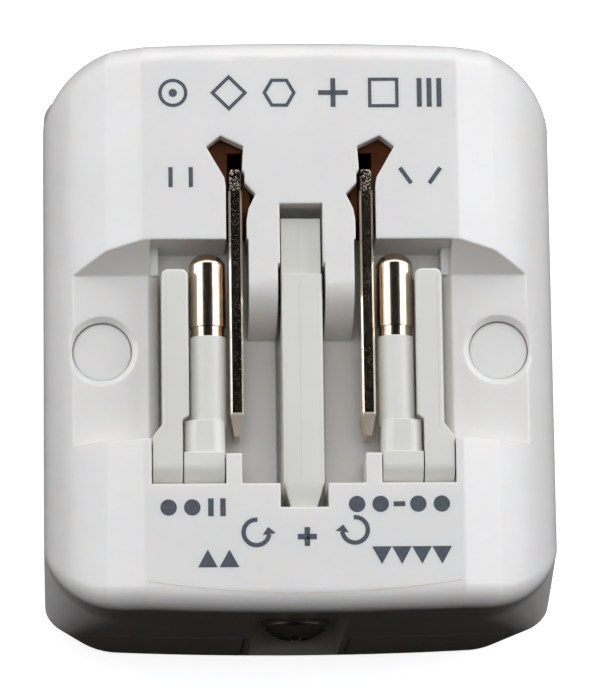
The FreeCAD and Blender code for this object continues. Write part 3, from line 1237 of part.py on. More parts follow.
def main():
    """Write one STEP file per node."""
    os.makedirs("parts", exist_ok=True)
    for name, shape in build().items():
        shape.exportStep(os.path.join("parts", name + ".step"))
        print(name, "solids", len(shape.Solids), "volume", round(shape.Volume, 2), "valid", shape.isValid())


if __name__ == "__main__":
    main()
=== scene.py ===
"""Looks of a universal travel adapter that lies on its socket face with its plug pins folded.

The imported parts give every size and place. This file adds softened moulded edges, turned and
plated pins, printed marks, mould lines and finishes, then the floor, lamps and camera.
Lengths are metres in the row frame, and a field whose name ends in _mm is in millimetres.
"""
import json
import logging
import math
from dataclasses import dataclass
from enum import Enum

import bmesh
import bpy
import numpy as np
from bpy.types import Material, Mesh, Node, NodeSocket, NodeTree, Object
from mathutils import Matrix, Vector
from mathutils.bvhtree import BVHTree
from mathutils.geometry import convex_hull_2d

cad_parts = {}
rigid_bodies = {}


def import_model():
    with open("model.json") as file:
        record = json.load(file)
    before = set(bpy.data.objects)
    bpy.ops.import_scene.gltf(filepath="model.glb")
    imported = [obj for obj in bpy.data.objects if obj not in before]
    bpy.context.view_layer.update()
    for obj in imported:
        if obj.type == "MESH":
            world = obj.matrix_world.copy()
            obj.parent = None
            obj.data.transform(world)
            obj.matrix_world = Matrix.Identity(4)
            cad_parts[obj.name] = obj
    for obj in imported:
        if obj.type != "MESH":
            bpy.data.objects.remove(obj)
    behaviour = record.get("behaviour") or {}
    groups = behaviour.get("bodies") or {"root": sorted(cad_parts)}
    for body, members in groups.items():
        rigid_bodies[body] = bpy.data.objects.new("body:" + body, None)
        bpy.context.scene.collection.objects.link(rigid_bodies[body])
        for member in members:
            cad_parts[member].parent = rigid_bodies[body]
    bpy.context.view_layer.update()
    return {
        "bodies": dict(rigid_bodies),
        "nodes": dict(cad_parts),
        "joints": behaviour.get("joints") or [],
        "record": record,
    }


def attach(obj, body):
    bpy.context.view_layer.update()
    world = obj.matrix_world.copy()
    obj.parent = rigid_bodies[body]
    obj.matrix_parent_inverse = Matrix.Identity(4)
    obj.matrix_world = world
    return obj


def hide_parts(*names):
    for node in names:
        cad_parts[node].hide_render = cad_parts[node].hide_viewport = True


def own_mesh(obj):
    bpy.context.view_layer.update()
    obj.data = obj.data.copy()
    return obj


LOG = logging.getLogger("travel_adapter")
MM = 0.001
# Height of the plug face, Y and Z of the round pins' hinge line, and X of the right round pin.
FACE_Z_MM = 36.0
PIN_HINGE_MM = (-14.35, 33.7)
PIN_X_MM = 9.45
# Sockets of a mix node: its inputs A and B and its output, for colours and for plain numbers.
COLOUR_A, COLOUR_B, COLOUR_OUT = 6, 7, 2
VALUE_A, VALUE_B, VALUE_OUT = 2, 3, 0
EVEN = (1.0, 1.0, 1.0)

Triple = tuple[float, float, float]
Pair = tuple[float, float]


class Side(Enum):
    """The two mirrored halves of the adapter, with the sign of X on each."""

    LEFT = -1
    RIGHT = 1

    @property
    def prefix(self) -> str:
        """The start of the names of this half's nodes."""
        return self.name.lower() + "_"


class Direction(Enum):
    """Ways that a printed triangle can point along Y."""

    UP = 1
    DOWN = -1


def linear(code: str) -> tuple[float, float, float, float]:
    """Turn an sRGB hex colour into linear light.

    Args:
        code: six hex digits, red first.

    Returns:
        Linear red, green and blue, with an alpha of 1.
    """
    srgb = np.array([int(code[i:i + 2], 16) for i in (0, 2, 4)]) / 255
    light = np.where(srgb <= 0.04045, srgb / 12.92, ((srgb + 0.055) / 1.055) ** 2.4)
    return (*[float(v) for v in light], 1.0)


def add_node(
    tree: NodeTree,
    kind: str,
    settings: dict[str | int, object] | None = None,
    links: dict[str | int, NodeSocket] | None = None,
) -> Node:
    """Add a shader node with its settings and incoming links.

    Args:
        tree: the material's or world's node tree.
        kind: the node's type name without its prefix.
        settings: values by input name or number, or by the node's own property name.
        links: sockets that feed the named or numbered inputs.

    Returns:
        The new node.
    """
    node = tree.nodes.new("ShaderNode" + kind)
    for key, value in (settings or {}).items():
        if isinstance(key, int) or key in node.inputs:
            node.inputs[key].default_value = value
        else:
            setattr(node, key, value)
    for key, socket in (links or {}).items():
        tree.links.new(socket, node.inputs[key])
    return node


def placed(name: str, data: object) -> Object:
    """Put a new object with the given mesh, lamp or camera into the scene."""
    item = bpy.data.objects.new(name, data)
    bpy.context.scene.collection.objects.link(item)
    return item


def new_material(name: str) -> tuple[Material, NodeTree]:
    """Make an empty node material.

    Args:
        name: the material's name.

    Returns:
        The material and its cleared node tree.
    """
    material = bpy.data.materials.new(name)
    material.use_nodes = True
    material.node_tree.nodes.clear()
    return material, material.node_tree


def object_millimetres(tree: NodeTree, stretch: Triple = EVEN) -> NodeSocket:
    """Give Object coordinates in millimetres, each divided by the stretch along its axis.

    Args:
        tree: the material's node tree.
        stretch: how long the pattern is drawn out along X, Y and Z.

    Returns:
        The vector socket for a texture whose scale is then cells per millimetre.
    """
    place = add_node(tree, "TexCoord").outputs["Object"]
    scale = tuple(1 / MM / s for s in stretch)
    return add_node(tree, "Mapping", {"Scale": scale}, {"Vector": place}).outputs["Vector"]


def tinted(
    tree: NodeTree, colour: str, other: str, vector: NodeSocket, cells_per_mm: float
) -> NodeSocket:
    """Blend two close colours by slow noise.

    Args:
        tree: the material's node tree.
        colour: the main colour, as hex.
        other: the second colour, as hex.
        vector: where the noise is read.
        cells_per_mm: how fine the noise is.

    Returns:
        The colour socket.
    """
    low, high = 0.35, 0.65
    noise = add_node(tree, "TexNoise", {"Scale": cells_per_mm, "Detail": 3.0}, {"Vector": vector})
    ramp = add_node(
        tree, "MapRange", {"From Min": low, "From Max": high}, {"Value": noise.outputs["Fac"]}
    )
    mix = add_node(
        tree, "Mix",
        {"data_type": "RGBA", COLOUR_A: linear(colour), COLOUR_B: linear(other)},
        {0: ramp.outputs["Result"]},
    )
    return mix.outputs[COLOUR_OUT]


@dataclass(frozen=True)
class Finish:
    """A surface as it is made.

    Attributes:
        name: what it is made of and how its surface was made.
        slot: the record's material slot, of the part itself or of the part under a film.
        colour: the main colour, as hex.
        shade: the colour that it drifts to.
        roughness: the surface's middle roughness.
    """

    name: str
    slot: str
    colour: str
    shade: str
    roughness: float

    def build(self) -> Material:
        """Make the node material."""
        material, tree = new_material(self.name)
        add_node(tree, "OutputMaterial", {}, {"Surface": self.shader(tree).outputs["BSDF"]})
        return material

    def shader(self, tree: NodeTree) -> Node:
        """Make the shader in the material's node tree."""
        raise NotImplementedError


@dataclass(frozen=True)
class MouldedPlastic(Finish):
    """Injection-moulded plastic: a spark-eroded or polished tool leaves its own fine grain.

    Attributes:
        ior: refractive index of the plastic.
        grain_mm: size of the tool's grain.
        depth_mm: height of the grain.
        glow: share of light that goes into the plastic and comes out beside.
        soft_mm: how far the light rounds the moulded edges, as polishing does.
        flow_mm: size of the patches where the colour drifts.
        spread: least and greatest roughness, as shares of the middle one.
        bleed_mm: how far light runs inside the plastic.
        bleed: shares of that for red, green and blue.
    """

    ior: float
    grain_mm: float
    depth_mm: float
    glow: float = 0.0
    soft_mm: float = 0.0
    flow_mm: float = 9.0
    spread: Pair = (0.88, 1.12)
    bleed_mm: float = 1.3
    bleed: Triple = (1.0, 0.55, 0.3)

    def shader(self, tree: NodeTree) -> Node:
        """Make the shader in the material's node tree."""
        flow = object_millimetres(tree, (self.flow_mm,) * 3)
        fine = object_millimetres(tree)
        base = tinted(tree, self.colour, self.shade, flow, 1.0)
        grain = add_node(
            tree, "TexNoise", {"Scale": 1 / self.grain_mm, "Detail": 4.0, "Roughness": 0.6},
            {"Vector": fine},
        )
        edges = add_node(tree, "Bevel", {"samples": 6, "Radius": self.soft_mm * MM})
        bump = add_node(
            tree, "Bump", {"Strength": 1.0, "Distance": self.depth_mm * MM},
            {"Height": grain.outputs["Fac"], "Normal": edges.outputs["Normal"]},
        )
        spread = add_node(
            tree, "MapRange",
            {"To Min": self.roughness * self.spread[0], "To Max": self.roughness * self.spread[1]},
            {"Value": grain.outputs["Fac"]},
        )
        return add_node(
            tree, "BsdfPrincipled",
            {
                "IOR": self.ior, "Subsurface Weight": self.glow,
                "Subsurface Scale": self.bleed_mm * MM, "Subsurface Radius": self.bleed,
            },
            {"Base Color": base, "Roughness": spread.outputs["Result"], "Normal": bump.outputs["Normal"]},
        )


@dataclass(frozen=True)
class PlatedMetal(Finish):
    """Plated or bare metal: polishing or drawing leaves fine lines along one way.

    Attributes:
        line_mm: spacing of the polishing lines.
        depth_mm: their height.
        stretch: how long the lines are along X, Y and Z.
        stamped_from_mm: beyond this Y, the surface is pitted from stamping.
        ground_to_mm: before this Y, the surface is dull from grinding.
        metallic: 1 for bare or plated metal, less where an oxide skin covers it.
        spread: least and greatest roughness, as shares of the middle one.
        tints_per_mm: how fine the drift of the colour is.
        pits_per_mm: how fine the stamping pits are, coarser than real ones so that they show.
        pit_mm: depth of the pits.
        pit_walls: the part of the noise that the pits' steep walls take up.
        pit_shares: share of the pits' depth before and beyond the stamped line.
        ground_roughness: roughness of the ground tip.
        ground_metallic: share of bare metal that still shows there.
        fade_mm: widths over which the stamped and the ground surface set in.
    """

    line_mm: float
    depth_mm: float
    stretch: Triple = (1.0, 14.0, 1.0)
    stamped_from_mm: float | None = None
    ground_to_mm: float = 0.0
    metallic: float = 1.0
    spread: Pair = (0.7, 1.4)
    tints_per_mm: float = 0.6
    pits_per_mm: float = 5.5
    pit_mm: float = 0.025
    pit_walls: Pair = (0.57, 0.63)
    pit_shares: Pair = (0.15, 0.6)
    ground_roughness: float = 0.5
    ground_metallic: float = 0.5
    fade_mm: Pair = (0.1, 0.06)

    def shader(self, tree: NodeTree) -> Node:
        """Make the shader in the material's node tree."""
        along = object_millimetres(tree, self.stretch)
        even = object_millimetres(tree)
        base = tinted(tree, self.colour, self.shade, even, self.tints_per_mm)
        lines = add_node(tree, "TexNoise", {"Scale": 1 / self.line_mm, "Detail": 3.0}, {"Vector": along})
        spread = add_node(
            tree, "MapRange",
            {"To Min": self.roughness * self.spread[0], "To Max": self.roughness * self.spread[1]},
            {"Value": lines.outputs["Fac"]},
        )
        bump = add_node(
            tree, "Bump", {"Strength": 1.0, "Distance": self.depth_mm * MM},
            {"Height": lines.outputs["Fac"]},
        )
        roughness, normal = spread.outputs["Result"], bump.outputs["Normal"]
        shader = add_node(
            tree, "BsdfPrincipled", {"Metallic": self.metallic},
            {"Base Color": base, "Roughness": roughness, "Normal": normal},
        )
        if self.stamped_from_mm is not None:
            self._worked(tree, even, shader, roughness, normal)
        return shader

    def _worked(
        self, tree: NodeTree, even: NodeSocket, shader: Node,
        roughness: NodeSocket, normal: NodeSocket,
    ) -> None:
        """Pit the stamped end, dull the ground tip and leave faint pits between.

        Args:
            tree: the material's node tree.
            even: Object coordinates in millimetres.
            shader: the metal's shader.
            roughness: the polished roughness.
            normal: the polished normal.
        """
        along_y = add_node(tree, "SeparateXYZ", {}, {"Vector": even}).outputs["Y"]
        stamped, ground = (
            add_node(
                tree, "MapRange",
                {"From Min": start, "From Max": start + fade, "To Min": before, "To Max": beyond},
                {"Value": along_y},
            )
            for start, fade, (before, beyond) in (
                (self.stamped_from_mm, self.fade_mm[0], self.pit_shares),
                (self.ground_to_mm, self.fade_mm[1], (1.0, 0.0)),
            )
        )
        pits = add_node(
            tree, "TexNoise", {"Scale": self.pits_per_mm, "Detail": 3.0, "Roughness": 0.7},
            {"Vector": even},
        )
        walls = add_node(
            tree, "MapRange",
            {"From Min": self.pit_walls[0], "From Max": self.pit_walls[1]},
            {"Value": pits.outputs["Fac"]},
        )
        height = add_node(
            tree, "Math", {"operation": "MULTIPLY"},
            {0: walls.outputs["Result"], 1: stamped.outputs["Result"]},
        )
        bump = add_node(
            tree, "Bump", {"Strength": 1.0, "Distance": self.pit_mm * MM},
            {"Height": height.outputs["Value"], "Normal": normal},
        )
        rough = add_node(
            tree, "Mix", {"data_type": "FLOAT", VALUE_B: self.ground_roughness},
            {0: ground.outputs["Result"], VALUE_A: roughness},
        )
        skin = add_node(
            tree, "MapRange", {"To Min": 1.0, "To Max": self.ground_metallic},
            {"Value": ground.outputs["Result"]},
        )
        tree.links.new(rough.outputs[VALUE_OUT], shader.inputs["Roughness"])
        tree.links.new(bump.outputs["Normal"], shader.inputs["Normal"])
        tree.links.new(skin.outputs["Result"], shader.inputs["Metallic"])


@dataclass(frozen=True)
class PrintedInk(Finish):
    """Pad-printed ink: a thin flat film, a little uneven where the pad lifted.

    Attributes:
        ior: refractive index of the film.
        tints_per_mm: how fine its unevenness is.
    """

    ior: float = 1.48
    tints_per_mm: float = 3.0

    def shader(self, tree: NodeTree) -> Node:
        """Make the shader in the material's node tree."""
        base = tinted(tree, self.colour, self.shade, object_millimetres(tree), self.tints_per_mm)
        settings = {"Roughness": self.roughness, "IOR": self.ior}
        return add_node(tree, "BsdfPrincipled", settings, {"Base Color": base})


# Glossy ABS from a polished tool: bright white, with broad soft highlights.
CASING = MouldedPlastic(
    "abs_gloss_white", "casing_white", "E6E3DF", "E3E0DC",
    roughness=0.26, ior=1.53, grain_mm=0.5, depth_mm=0.0015, glow=0.4, soft_mm=0.35)
# Filled nylon: greyer and duller than the casing, with a fine even grain.
PIN_PLASTIC = MouldedPlastic(
    "nylon_satin_grey_white", "pin_plastic", "DBD9D1", "D7D5CC",
    roughness=0.42, ior=1.53, grain_mm=0.3, depth_mm=0.003, glow=0.1, soft_mm=0.2)
# Acetal of the shutter: satin, slightly cool.
SHUTTER_PLASTIC = MouldedPlastic(
    "acetal_satin_white", "shutter_plastic", "D6D6D4", "D0D0CE",
    roughness=0.4, ior=1.48, grain_mm=0.3, depth_mm=0.003)
# Brown phenolic of the contact carrier: dark, half-matt, mottled by its filler.
CARRIER_PLASTIC = MouldedPlastic(
    "phenolic_brown", "carrier_plastic", "4A2A18", "3A2012",
    roughness=0.4, ior=1.6, grain_mm=0.35, depth_mm=0.004)
# Polished nickel plate over brass: near mirror, warm, pitted at the tang and ground dull at the tip.
BLADE_METAL = PlatedMetal(
    "nickel_plate_polished_blade", "blade_metal", "D8C9B9", "CDBEAE",
    roughness=0.11, line_mm=0.12, depth_mm=0.0012, stamped_from_mm=13.5, ground_to_mm=-9.3)
# The same plate on the turned round pins: a little softer, with faint lines along them.
PIN_METAL = PlatedMetal(
    "nickel_plate_polished_pin", "pin_metal", "D4C3B2", "CAB9A8",
    roughness=0.18, line_mm=0.12, depth_mm=0.0008)
# Copper of the clevises, tumbled and then browned: a dull oxide skin, which the slots show as brown.
STEM_METAL = PlatedMetal(
    "browned_copper_tumbled", "stem_metal", "63340F", "4F280C",
    roughness=0.4, line_mm=0.25, depth_mm=0.004, stretch=(1.0, 1.0, 4.0), metallic=0.2)
# Zinc plate, dull and slightly blue.
SCREW_STEEL = PlatedMetal(
    "zinc_plate_steel", "screw_steel", "B4B6B8", "A6A8AA",
    roughness=0.3, line_mm=0.2, depth_mm=0.003, stretch=EVEN)
# Nickel-plated domed screw: a dark mirror of the room before it.
SCREW_NICKEL = PlatedMetal(
    "nickel_plate_screw", "screw_nickel", "C4C0BA", "B8B4AE",
    roughness=0.14, line_mm=0.2, depth_mm=0.0015, stretch=EVEN)
# Drawn spring wire: smooth, grey and half bright.
SPRING_STEEL = PlatedMetal(
    "drawn_music_wire", "spring_steel", "9A9A9C", "8A8A8C",
    roughness=0.28, line_mm=0.1, depth_mm=0.001, stretch=EVEN)
# Stamped from rolled brass: yellow, with the rolling's faint lines.
CONTACT_BRASS = PlatedMetal(
    "stamped_brass_strip", "contact_brass", "D0A85A", "BE964C",
    roughness=0.3, line_mm=0.15, depth_mm=0.003)
# Phosphor bronze strip: redder than the brass, and a little brighter.
CONTACT_BRONZE = PlatedMetal(
    "phosphor_bronze_strip", "contact_bronze", "C58E63", "B57F56",
    roughness=0.28, line_mm=0.15, depth_mm=0.003)
# Pad-printed ink: dark grey and matt on the gloss around it.
INK = PrintedInk("pad_print_grey", "casing_white", "44474F", "50535B", roughness=0.55)
# Witness lines of the tools: the plastic stands a hair proud and looks warmer there.
WITNESS = PrintedInk("mould_witness_line", "casing_white", "C9BFAE", "D2CAB9", roughness=0.45)
PIN_WITNESS = PrintedInk("pin_mould_line", "pin_plastic", "CFC8B8", "D4CEC0", roughness=0.45)

FINISHES = (
    CASING, PIN_PLASTIC, SHUTTER_PLASTIC, CARRIER_PLASTIC, BLADE_METAL, PIN_METAL, STEM_METAL,
    SCREW_STEEL, SCREW_NICKEL, SPRING_STEEL, CONTACT_BRASS, CONTACT_BRONZE, INK, WITNESS, PIN_WITNESS,
)


@dataclass
class Workshop:
    """What every sub-assembly needs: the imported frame, its finishes and the ways to make a piece."""

    frame: dict[str, object]
    materials: dict[str, Material]
    weld_mm: float = 0.0004
    flat_deg: float = 0.3
    sharp_deg: float = 32
    rounding_faces: int = 2

    def body(self, node: str) -> str:
        """The name of the body that a CAD node rides on."""
        bodies = self.frame["record"]["behaviour"]["bodies"]
        return next(name for name, nodes in bodies.items() if node in nodes)

    def add(
        self, name: str, mesh: Mesh, body: str, finish: Finish, replaces: tuple[str, ...] = (),
    ) -> Object:
        """Put a mesh into the scene as a piece of the adapter.

        Args:
            name: the piece's name.
            mesh: its mesh, in place.
            body: the body that it rides on.
            finish: its finish.
            replaces: the CAD nodes that it stands for.

        Returns:
            The piece.
        """
        piece = placed(name, mesh)
        mesh.materials.clear()
        mesh.materials.append(self.materials[finish.name])
        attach(piece, body)
        if replaces:
            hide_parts(*replaces)
        LOG.info("piece %s on %s: %d faces", name, body, len(mesh.polygons))
        return piece

    def dress(self, node: str, finish: Finish) -> None:
        """Give a CAD node its finish and keep its shape.

        Args:
            node: the CAD node.
            finish: its finish.
        """
        piece = self.frame["nodes"][node]
        for slot in piece.material_slots:
            slot.material = self.materials[finish.name]
        LOG.info("node %s dressed in %s", node, finish.name)

    def softened(self, node: str, finish: Finish, radius_mm: float) -> Object:
        """Stand in for a CAD node with the same form and small rounded edges.

        The triangles are merged into flat faces and cut anew into well-shaped ones. Then each sharp
        edge is rounded, and the rest is shaded smooth.

        Args:
            node: the CAD node.
            finish: its finish.
            radius_mm: width of the rounding.

        Returns:
            The piece.
        """
        mesh = self.frame["nodes"][node].data.copy()
        work = bmesh.new()
        work.from_mesh(mesh)
        bmesh.ops.remove_doubles(work, verts=work.verts, dist=self.weld_mm * MM)
        bmesh.ops.dissolve_limit(
            work, angle_limit=math.radians(self.flat_deg), verts=work.verts, edges=work.edges,
            use_dissolve_boundaries=False)
        bmesh.ops.triangulate(work, faces=work.faces, quad_method="BEAUTY", ngon_method="BEAUTY")
        work.to_mesh(mesh)
        work.free()
        mesh.shade_smooth()
        mesh.set_sharp_from_angle(angle=math.radians(self.sharp_deg))
        piece = self.add(node + "_finished", mesh, self.body(node), finish, (node,))
        bevel = piece.modifiers.new("rounded_edges", "BEVEL")
        bevel.width = radius_mm * MM
        bevel.segments = self.rounding_faces
        bevel.limit_method = "ANGLE"
        bevel.angle_limit = math.radians(self.sharp_deg)
        bevel.harden_normals = True
        bevel.use_clamp_overlap = True
        bevel.miter_outer = "MITER_SHARP"
        weighted = piece.modifiers.new("weighted_normals", "WEIGHTED_NORMAL")
        weighted.keep_sharp = True
        return piece


def mesh_points(mesh: Mesh) -> np.ndarray:
    """A mesh's points as rows of X, Y and Z, in metres."""
    points = np.empty(len(mesh.vertices) * 3)
    mesh.vertices.foreach_get("co", points)
    return points.reshape(-1, 3)


def unit_rows(rows: np.ndarray) -> np.ndarray:
    """Rows scaled to a length of 1, each as v / |v|. A row of zeros stays as it is."""
    return rows / np.maximum(np.linalg.norm(rows, axis=1, keepdims=True), 1e-9)


def mesh_from_rings(name: str, rings: np.ndarray, closed: bool, capped: bool) -> Mesh:
    """Make a mesh from rings: quad (i, j) joins rings i and i+1 between their points j and j+1.

    Args:
        name: the mesh's name.
        rings: an array of shape (rings, points in each, 3), in metres.
        closed: whether the last ring joins the first.
        capped: whether the first and last rings are closed with one face each.

    Returns:
        The mesh, with its normals outwards.
    """
    weld_mm = 0.0005
    rows, columns = rings.shape[:2]
    index = np.arange(rows * columns).reshape(rows, columns)
    if closed:
        index = np.vstack([index, index[:1]])
    index = np.hstack([index, index[:, :1]])
    quads = np.stack([index[:-1, :-1], index[:-1, 1:], index[1:, 1:], index[1:, :-1]], axis=-1)
    faces = quads.reshape(-1, 4).tolist()
    if capped:
        faces += [index[0, :columns].tolist()[::-1], index[-1, :columns].tolist()]
    mesh = bpy.data.meshes.new(name)
    mesh.from_pydata(rings.reshape(-1, 3).tolist(), [], faces)
    work = bmesh.new()
    work.from_mesh(mesh)
    bmesh.ops.remove_doubles(work, verts=work.verts, dist=weld_mm * MM)
    bmesh.ops.recalc_face_normals(work, faces=work.faces)
    work.to_mesh(mesh)
    work.free()
    return mesh


def turned(name: str, profile_mm: np.ndarray, centre_mm: Pair, faces_round: int) -> Mesh:
    """Turn a profile about a line along Y: point = centre + r (cos a, sin a) across, and y along.

    Args:
        name: the mesh's name.
        profile_mm: rows of (y, r), with r of 0 at closed ends.
        centre_mm: X and Z of the line.
        faces_round: faces round the line.

    Returns:
        The mesh.
    """
    sharp_deg = 35
    angle = np.linspace(0, 2 * np.pi, faces_round, endpoint=False)
    y, r = profile_mm[:, 0:1], profile_mm[:, 1:2]
    x = centre_mm[0] + r * np.cos(angle)
    z = centre_mm[1] + r * np.sin(angle)
    rings = np.stack([x, np.broadcast_to(y, x.shape), z], axis=-1) * MM
    mesh = mesh_from_rings(name, rings, False, False)
    mesh.shade_smooth()
    mesh.set_sharp_from_angle(angle=math.radians(sharp_deg))
    return mesh


def arc_points(centre: Pair, radius: float, start: float, end: float, count: int) -> np.ndarray:
    """Points of an arc: centre + radius (cos a, sin a) for evenly spaced a in degrees."""
    angle = np.radians(np.linspace(start, end, count))
    return np.stack([centre[0] + radius * np.cos(angle), centre[1] + radius * np.sin(angle)], axis=-1)


def circle_points(centre: Pair, radius: float) -> np.ndarray:
    """Points of a whole circle, 8 degrees apart."""
    return arc_points(centre, radius, 0, 352, 45)


@dataclass
class Surface:
    """A node's surface, looked up from above."""

    tree: BVHTree
    looked_from_m: float = 0.1

    @classmethod
    def of(cls, frame: dict[str, object], node: str) -> "Surface":
        """Read a CAD node's mesh.

        Args:
            node: the node's name.

        Returns:
            The surface.
        """
        mesh = frame["nodes"][node].data
        faces = [list(face.vertices) for face in mesh.polygons]
        return cls(BVHTree.FromPolygons(mesh_points(mesh).tolist(), faces))

    def height(self, x_mm: float, y_mm: float) -> float:
        """Height in millimetres of the first surface met from above, or of the plug face."""
        above = Vector((x_mm * MM, y_mm * MM, self.looked_from_m))
        point = self.tree.ray_cast(above, Vector((0, 0, -1)))[0]
        return point.z / MM if point else FACE_Z_MM


@dataclass
class Ribbon:
    """A flat strip that lies on a surface: a rectangular section carried along a path.

    At each path point the section stands across the mitred direction, half a width to each side,
    from just under the surface to just over it. A corner is widened by 1 / cosine of half its turn,
    and the cosine is taken as no less than the mitre limit.
    """

    surface: Surface
    proud_mm: float = 0.015
    sunk_mm: float = 0.03
    mitre_limit: float = 0.4

    def rings(self, path_mm: np.ndarray, widths_mm: np.ndarray | float, closed: bool) -> np.ndarray:
        """Work out the strip's section at each path point.

        Args:
            path_mm: rows of (x, y).
            widths_mm: the strip's width, one for all or one for each row.
            closed: whether the path runs back to its start.

        Returns:
            An array of shape (rows, 4, 3), in metres.
        """
        path = np.asarray(path_mm, dtype=float)
        if closed:
            before, after = np.roll(path, 1, axis=0), np.roll(path, -1, axis=0)
        else:
            before = np.vstack([2 * path[0] - path[1], path[:-1]])
            after = np.vstack([path[1:], 2 * path[-1] - path[-2]])
        into, out = unit_rows(path - before), unit_rows(after - path)
        along = unit_rows(into + out)
        across = np.stack([-along[:, 1], along[:, 0]], axis=-1)
        cosine = np.clip((along * into).sum(axis=1), self.mitre_limit, 1.0)
        half = np.broadcast_to(np.asarray(widths_mm, dtype=float), cosine.shape) / 2 / cosine
        left, right = path + across * half[:, None], path - across * half[:, None]
        base = np.array([self.surface.height(x, y) for x, y in path])
        low, high = base - self.sunk_mm, base + self.proud_mm
        corners = [(left, low), (right, low), (right, high), (left, high)]
        return np.stack([np.column_stack([side, level]) for side, level in corners], axis=1) * MM

    def mesh(
        self, name: str, path_mm: np.ndarray, widths_mm: np.ndarray | float, closed: bool = False,
    ) -> Mesh:
        """Make the strip's mesh. See rings for the other arguments."""
        return mesh_from_rings(name, self.rings(path_mm, widths_mm, closed), closed, not closed)


def joined_mesh(name: str, meshes: list[Mesh]) -> Mesh:
    """Put several meshes into one.

    Args:
        name: the new mesh's name.
        meshes: what goes into it. They are removed.

    Returns:
        The mesh.
    """
    work = bmesh.new()
    for mesh in meshes:
        work.from_mesh(mesh)
    result = bpy.data.meshes.new(name)
    work.to_mesh(result)
    work.free()
    for mesh in meshes:
        bpy.data.meshes.remove(mesh)
    return result


@dataclass
class Casings:
    """The two casings, the screw caps and the domed screw in the end wall."""

    shop: Workshop
    edge_mm: float = 0.4
    cap_edge_mm: float = 0.12
    screw_edge_mm: float = 0.08
    joint_z_mm: float = 15.5
    joint_slack_mm: float = 0.005
    ledge_mm: float = 0.14
    ledge_root_mm: float = 0.1
    ledge_height_mm: float = 0.12
    scoop_half_mm: float = 5.6
    scoop_slack_mm: float = 0.3
    end_wall_mm: float = 29.2

    def build(self) -> None:
        """Make and dress every piece."""
        for node in ("plug_casing", "socket_casing"):
            self.shop.softened(node, CASING, self.edge_mm)
        self.shop.softened("end_screw", SCREW_NICKEL, self.screw_edge_mm)
        self._ledge()
        for side in Side:
            self.shop.softened(side.prefix + "screw_cap", CASING, self.cap_edge_mm)

    def _ledge(self) -> None:
        """The lower casing's hair-wide ledge at the joint, from one side of the scoop to the other.

        Its path is the convex outline of the lower casing's points at the joint. The section is a
        rectangle that stands out by the ledge's width.
        """
        points = mesh_points(self.shop.frame["nodes"]["socket_casing"].data) / MM
        rim = points[np.abs(points[:, 2] - self.joint_z_mm) < self.joint_slack_mm]
        flat = [Vector(point) for point in np.unique(rim[:, :2].round(4), axis=0)]
        hull = np.array([flat[i] for i in convex_hull_2d(flat)])
        start = np.argmin(np.hypot(hull[:, 0] - self.scoop_half_mm, hull[:, 1] + self.end_wall_mm))
        hull = np.roll(hull, -start, axis=0)
        in_scoop = np.abs(hull[:, 0]) < self.scoop_half_mm - self.scoop_slack_mm
        path = hull[~(in_scoop & (hull[:, 1] < 0))]
        around = np.diff(np.vstack([path, path[:1]]), axis=0)
        turn = unit_rows(np.stack([around[:, 1], -around[:, 0]], axis=-1))
        out = unit_rows(turn + np.roll(turn, 1, axis=0))
        out[0], out[-1] = turn[0], turn[-2]
        inner, foot = -self.ledge_root_mm, -self.ledge_height_mm
        sections = []
        for reach, level in ((inner, foot), (self.ledge_mm, foot), (self.ledge_mm, 0.0), (inner, 0.0)):
            height = np.full(len(path), self.joint_z_mm + level)
            sections.append(np.column_stack([path + out * reach, height]))
        ledge = mesh_from_rings("joint_ledge", np.stack(sections, axis=1) * MM, False, True)
        self.shop.add("joint_ledge", ledge, "casing", CASING)


